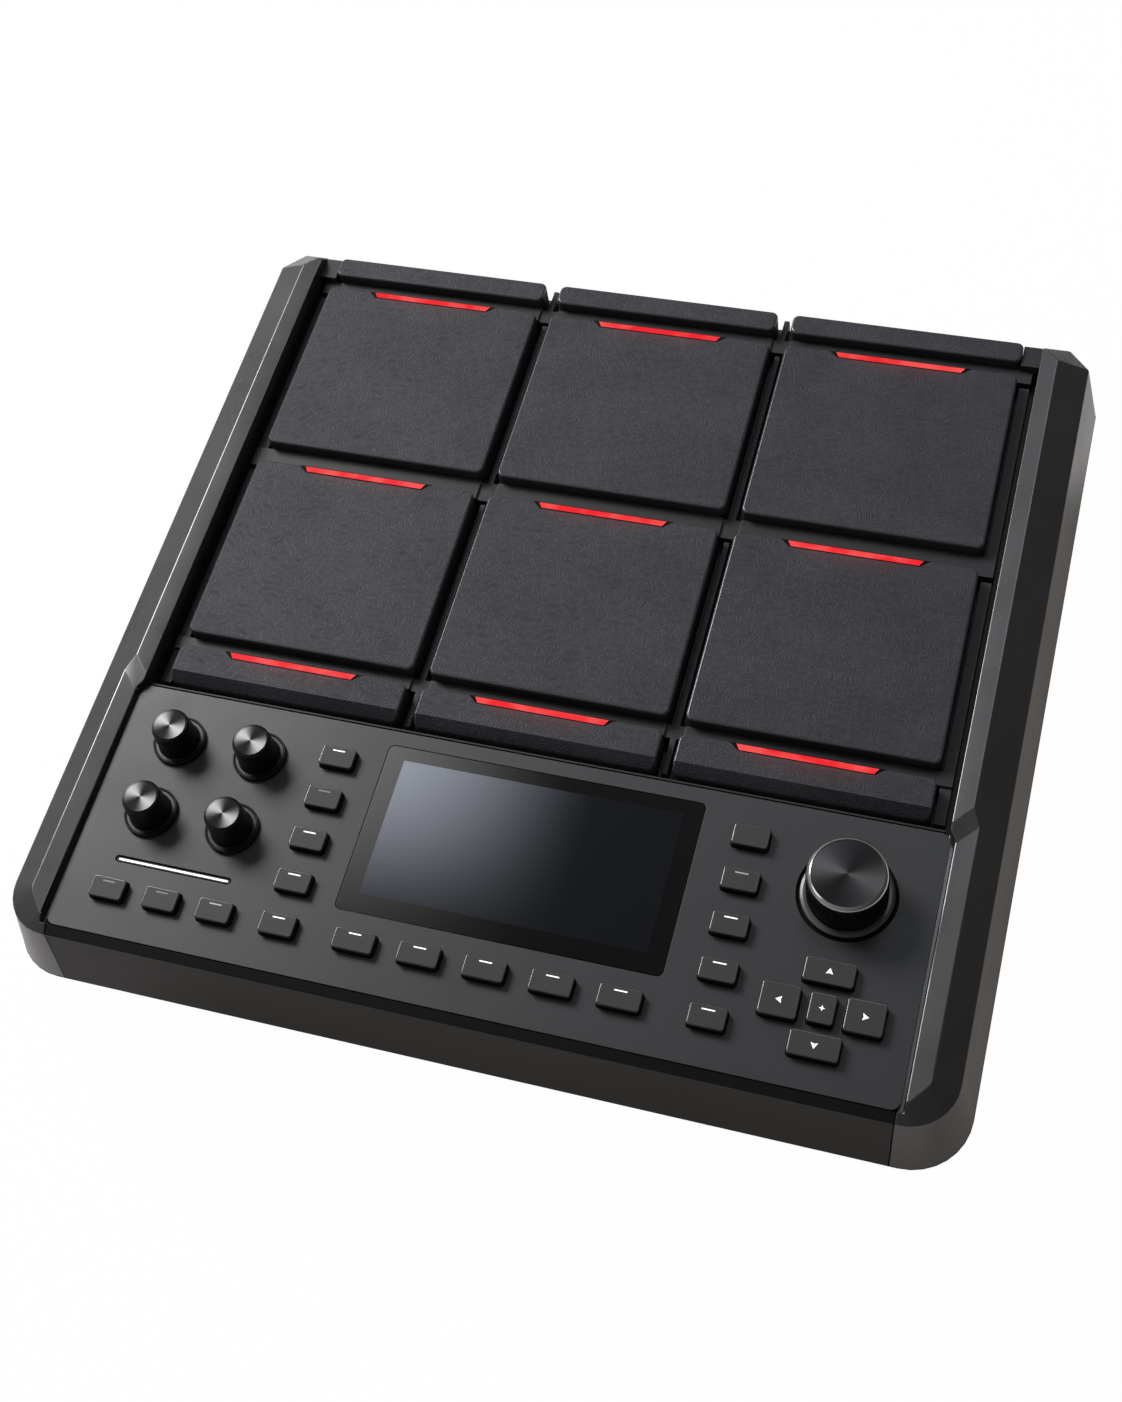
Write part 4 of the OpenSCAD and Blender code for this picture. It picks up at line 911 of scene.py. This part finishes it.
# %% Inlay the key marks
mark_sunk, mark_proud = 0.2 * MM, 0.02 * MM
window_y = 2.6
window = round_rectangle(5.4, 0.55, 0.24, 3)
arrow = [(-1.45, -1.0), (0, -0.6), (1.45, -1.0), (0, 1.5)]
star_tip, star_waist = 1.3, 0.45


def inlay(name, outline, node, coat, y=0.0):
    """A thin mark let in to the top of a key, its outline in mm from the key's middle."""
    low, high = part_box(node)
    centre = (low + high) / 2
    mark = plate(name, moved(outline, centre.x, centre.y + y * MM, MM),
                 high.z - mark_sunk, high.z + mark_proud, coat)
    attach(mark, body_for(node))


def turned(outline, degrees):
    c, s = math.cos(math.radians(degrees)), math.sin(math.radians(degrees))
    return [(c * x - s * y, s * x + c * y) for x, y in outline]


windows = {mark_bright: ["left_key_1", "left_key_3", "left_key_4", "left_key_5", "screen_key_1",
                         "screen_key_2", "screen_key_3", "screen_key_4", "screen_key_5",
                         "right_key_3", "right_key_4", "right_key_5"],
           mark_half: ["mode_key_3", "right_key_2"],
           mark_dim: ["mode_key_1", "mode_key_2", "left_key_2"]}
for coat, keys in windows.items():
    for node in keys:
        inlay(node + "_window", window, node, coat, window_y)
arrows = {"nav_up_key": 0, "nav_left_key": 90, "nav_down_key": 180, "nav_right_key": 270}
for node, degrees in arrows.items():
    inlay(node + "_arrow", turned(arrow, degrees), node, mark_bright)
star = [turned([(0, star_waist if k % 2 else star_tip)], 45 * k)[0] for k in range(8)]
inlay("nav_enter_key_star", star, "nav_enter_key", mark_bright)
print("marks:", sum(len(k) for k in windows.values()) + len(arrows) + 1)

# %% [markdown]
# The status lamp under the knobs is a black light guide in a slot, and only a thin line along its
# middle is clear and glows. The guide is the solid. The line could be a stripe in the guide's finish,
# but a plate keeps its ends round and crisp, so it is one more thin inlay.

# %% Light the status line
low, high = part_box("status_light_bar")
centre = (low + high) / 2
dark_ends, line_d, line_corner, line_proud = 1.8 * MM, 0.85 * MM, 0.4 * MM, 0.05 * MM
line_l = high.x - low.x - dark_ends
line = moved(round_rectangle(line_l, line_d, line_corner, 4), centre.x, centre.y)
status_line = plate("status_line", line, high.z - mark_sunk, high.z + line_proud, white_glow)
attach(status_line, body_for("status_light_bar"))
print("status line:", round(line_l / MM, 1), "mm long")

# %% [markdown]
# ## Knobs and dial
# Turned parts are made as on a lathe: a profile of radius and height is spun about the axis. The Screw
# modifier does that too, but here the points on the axis should meet in one, so the rings are laid in
# code.

# %% Set up the lathe
lathe_steps = 96
shaft_r, hub_r = 3.0, 6.0
panel_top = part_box("screen_glass")[1].z / MM + 0.1


def spin_profile(bm, x, y, profile, steps=lathe_steps):
    """Spins a profile of radius and height, both in mm, about an upright axis."""
    rings = []
    for r, z in profile:
        if r == 0:
            rings.append([bm.verts.new((x, y, z * MM))])
        else:
            rings.append([bm.verts.new((x + r * MM * math.cos(2 * math.pi * k / steps),
                                        y + r * MM * math.sin(2 * math.pi * k / steps), z * MM))
                          for k in range(steps)])
    for inner, outer in zip(rings, rings[1:]):
        for k in range(steps):
            m = (k + 1) % steps
            a, b = inner[k % len(inner)], inner[m % len(inner)]
            c, d = outer[m % len(outer)], outer[k % len(outer)]
            corners = list(dict.fromkeys((a, b, c, d)))
            if len(corners) > 2:
                bm.faces.new(corners)


def axis_of(node):
    """The axis of a turned node, and its lower and upper end in mm."""
    low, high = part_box(node)
    return (low.x + high.x) / 2, (low.y + high.y) / 2, low.z / MM, high.z / MM


print("the panel's top lies", round(panel_top, 2), "mm above the table")

# %% [markdown]
# The small knobs are smooth black cones on a dished skirt with a raised rim. A knob and its cap could be
# one profile with two finishes, but on the real unit the cap is a disc of turned aluminium let in to the
# plastic, so it is a piece of its own. Each cap has its own copy of the metal, since the rings run round
# that knob's axis.

# %% Turn the knobs
knob_count = 4
foot, hub = panel_top + 0.3, panel_top + 1.6
for i in range(1, knob_count + 1):
    x, y, bottom, top = axis_of(f"knob_{i}")
    shaft = [(0, bottom), (shaft_r, bottom), (shaft_r, hub), (hub_r, hub), (hub_r, foot)]
    skirt = [(11.4, foot), (11.6, foot + 0.2), (11.6, foot + 1.3), (11.45, foot + 1.65), (11.15, foot + 1.8)]
    dish = [(10.9, foot + 1.75), (10.6, foot + 1.35), (10.4, foot + 1.25), (9.35, foot + 1.25)]
    cone = [(9.1, foot + 1.4), (9.0, foot + 1.8), (8.1, top - 0.75), (8.0, top - 0.5)]
    cap_seat = [(7.45, top - 0.1), (7.2, top), (7.2, top - 0.5), (0, top - 0.5)]
    bm = bmesh.new()
    spin_profile(bm, x, y, shaft + skirt + dish + cone + cap_seat)
    stands_for(done(bm, f"knob_body_{i}", control_black, 50), f"knob_{i}")
    cap_low, cap_high = axis_of(f"knob_cap_{i}")[2:]
    disc = [(0, cap_low), (7.15, cap_low), (7.15, cap_high - 0.25), (7.0, cap_high), (6.75, cap_high),
            (6.6, cap_high - 0.12), (0, cap_high - 0.12)]
    bm = bmesh.new()
    spin_profile(bm, x, y, disc)
    # The cap's colour carries a painted bow-tie highlight along the given axis.
    coat = spun(f"spun cap {i}", (0.105, 0.105, 0.108), 0.5, (x, y, 0), grain=0.6, side=(0, 0),
                axis=(0.91, -0.41), spread=0.91, narrow=4)
    stands_for(done(bm, f"knob_disc_{i}", coat, 30), f"knob_cap_{i}")
print("knobs stand", round(top - panel_top, 2), "mm above the panel")

# %% [markdown]
# The dial has a fine knurl, which a lathe profile can't give, so its side is lofted from star-shaped
# rings: every second point lies a little deeper. A bump could fake the ridges, but their outline shows
# against the panel. Below the knurl is a grey flange, and under it a black ring on the well's floor is
# painted shade.

# %% Turn the dial
x, y, bottom, top = axis_of("dial")
ridges, ridge_h, flange_from = 100, 0.42, 16.4
foot, hub = panel_top - 0.8, panel_top + 0.6
shaft = [(0, bottom), (shaft_r, bottom), (shaft_r, hub), (hub_r, hub), (hub_r, foot)]
flange = [(18.5, foot), (18.7, foot + 0.2), (18.7, panel_top + 0.7), (18.5, panel_top + 1.0),
          (17.6, panel_top + 1.45), (17.3, panel_top + 1.5), (16.2, panel_top + 1.5)]
bm = bmesh.new()
spin_profile(bm, x, y, shaft + flange, 2 * ridges)


def knurl_ring(z, r, depth):
    return [bm.verts.new((x + (r - depth * (k % 2)) * MM * math.cos(math.pi * k / ridges),
                          y + (r - depth * (k % 2)) * MM * math.sin(math.pi * k / ridges), z * MM))
            for k in range(2 * ridges)]


def off_axis(face):
    """How far a face lies from the dial's axis, in mm."""
    return math.hypot(face.center.x - x, face.center.y - y) / MM


knurl = [knurl_ring(panel_top + 1.5, 15.7, 0), knurl_ring(panel_top + 2.0, 16.25, ridge_h),
         knurl_ring(top - 1.2, 16.25, ridge_h), knurl_ring(top - 0.7, 15.9, 0), knurl_ring(top, 15.8, 0)]
for lower, upper in zip(knurl, knurl[1:]):
    for k in range(2 * ridges):
        m = (k + 1) % (2 * ridges)
        bm.faces.new((lower[k], lower[m], upper[m], upper[k]))
bm.faces.new(knurl[-1])
dial_body = done(bm, "dial_body", control_black, 20)
paint_faces(dial_body, flange_grey, lambda face: off_axis(face) > flange_from and face.normal.z > 0.3)
stands_for(dial_body, "dial")
# Painted shade: a black ring laid on the well's floor, where the well lies in shadow.
shade_ring_in, shade_ring_out, shade_ring_drop, shade_ring_t = 8, 20.1, 1.2, 0.15
shade_ring_low = panel_top - shade_ring_drop
shade_ring_high = shade_ring_low + shade_ring_t
shade_ring = [(shade_ring_in, shade_ring_low), (shade_ring_out, shade_ring_low), (shade_ring_out, shade_ring_high), (shade_ring_in, shade_ring_high),
        (shade_ring_in, shade_ring_low)]
bm = bmesh.new()
spin_profile(bm, x, y, shade_ring)
bmesh.ops.remove_doubles(bm, verts=bm.verts, dist=0.001 * MM)
well_shade_ring = done(bm, "dial_well_shade_ring", black_and_painted_shade)
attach(well_shade_ring, body_for("control_panel"))
print("dial ridges:", ridges)

# %% [markdown]
# On top of the dial lies a turned disc inside a bright ring. They could be two pieces, but the ring is
# only the disc's chamfer cut with a sharper tool, so it is one mesh, and the faces of the chamfer get
# the brighter metal.

# %% Turn the dial's disc
cap_low, cap_high = axis_of("dial_cap")[2:]
ring_in, ring_out, ring_from = 14.2, 15.8, cap_low + 0.7
disc_steps = 160
chamfer = [(15.85, cap_low + 0.6), (15.72, cap_low + 0.95), (15.42, cap_low + 1.4), (15.0, cap_low + 1.8),
           (14.55, cap_low + 2.05), (14.3, cap_high - 0.02)]
disc = [(0, cap_low), (15.85, cap_low)] + chamfer + [(14.1, cap_high - 0.05), (14.0, cap_high - 0.2),
                                                     (0, cap_high - 0.2)]
bm = bmesh.new()
spin_profile(bm, x, y, disc, disc_steps)
# The disc's colour carries a painted highlight to one side and a painted bow-tie along the given axis.
coat = spun("spun dial", (0.050, 0.050, 0.052), 0.55, (x, y, 0), grain=0.72, side=(-0.06, 0.06),
            axis=(-0.80, 0.60), spread=0.5, narrow=2)
dial_disc = done(bm, "dial_disc", coat, 30)
paint_faces(dial_disc, bright_ring,
            lambda face: ring_in < off_axis(face) < ring_out and face.center.z > ring_from * MM)
stands_for(dial_disc, "dial_cap")
print("dial stands", round(cap_high - panel_top, 1), "mm above the panel")

# %% [markdown]
# ## The screen
# The window is one sheet of dark glass with the picture area showing through. Real transmission
# would be slow and the dark module behind it has nothing to show, so the sheet is opaque and glossy:
# a black border, and inside it a dark picture, both with a bluish grey painted reflection.

# %% Lay the screen glass
low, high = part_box("screen_glass")
centre = (low + high) / 2
glass_corner, glass_round = 2.5 * MM, 0.25 * MM
glass_black = finish("glass border", (0.0010, 0.0010, 0.0011), 0.24, specular_ior_level=0.18)
fine_grain(glass_black, 8, 0.002, 0.2)
picture = finish("dark picture", (0.002, 0.0022, 0.003), 0.3, specular_ior_level=0.12)
outline = round_rectangle(high.x - low.x, high.y - low.y, glass_corner, 8)
glass = slab("screen_window", low, high, outline, glass_black, glass_round, 3)
stands_for(glass, "screen_glass")
shown_w, shown_d, shown_corner, shift = 121.5, 62.0, 0.4, 1.2
shown_sunk, shown_proud = 0.1 * MM, 0.015 * MM
shown = moved(round_rectangle(shown_w, shown_d, shown_corner, 2), centre.x, centre.y + shift * MM, MM)
picture_area = plate("screen_picture", shown, high.z - shown_sunk, high.z + shown_proud, picture)
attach(picture_area, body_for("screen_glass"))
print("screen:", round((high.x - low.x) / MM, 1), "by", round((high.y - low.y) / MM, 1), "mm")

# %% [markdown]
# The dark picture and the glass round it are a little lighter towards their upper left: a painted
# reflection of the lamps, laid on as a glow. A lamp behind clear glass could do it slowly, so the glow
# is worked out from the place on the screen: it grows along both edges, and the two are multiplied.

# %% Paint the reflection on the screen
def paint_screen_reflection(made, dark, bright, across, along):
    """A painted reflection: a glow that grows between two places across and along, in mm from the screen's
    middle.
    """
    tree = made.node_tree
    place = add_node(tree, "ShaderNodeSeparateXYZ", [("Vector", place_on(tree))]).outputs
    shares = [ranged(tree, place[axis], [middle + end * MM for end in ends], (0, 1),
                     interpolation_type="SMOOTHSTEP")
              for axis, middle, ends in (("X", centre.x, across), ("Y", centre.y, along))]
    both = reckon(tree, "MULTIPLY", *shares)
    feed_shader(made, "Emission Color", ramp_between(tree, both, dark, bright, (0, 1)))
    shader_of(made).inputs["Emission Strength"].default_value = 1.0


# Painted reflection of the lamps on the picture and on the glass border.
paint_screen_reflection(picture, (0.0010, 0.0014, 0.0032), (0.29, 0.31, 0.36), (26, -75), (-50, 40))
paint_screen_reflection(glass_black, (0, 0, 0), (0.115, 0.115, 0.119), (15, -85), (-75, 40))
print("glowing finishes:", [coat.name for coat in (picture, glass_black)])
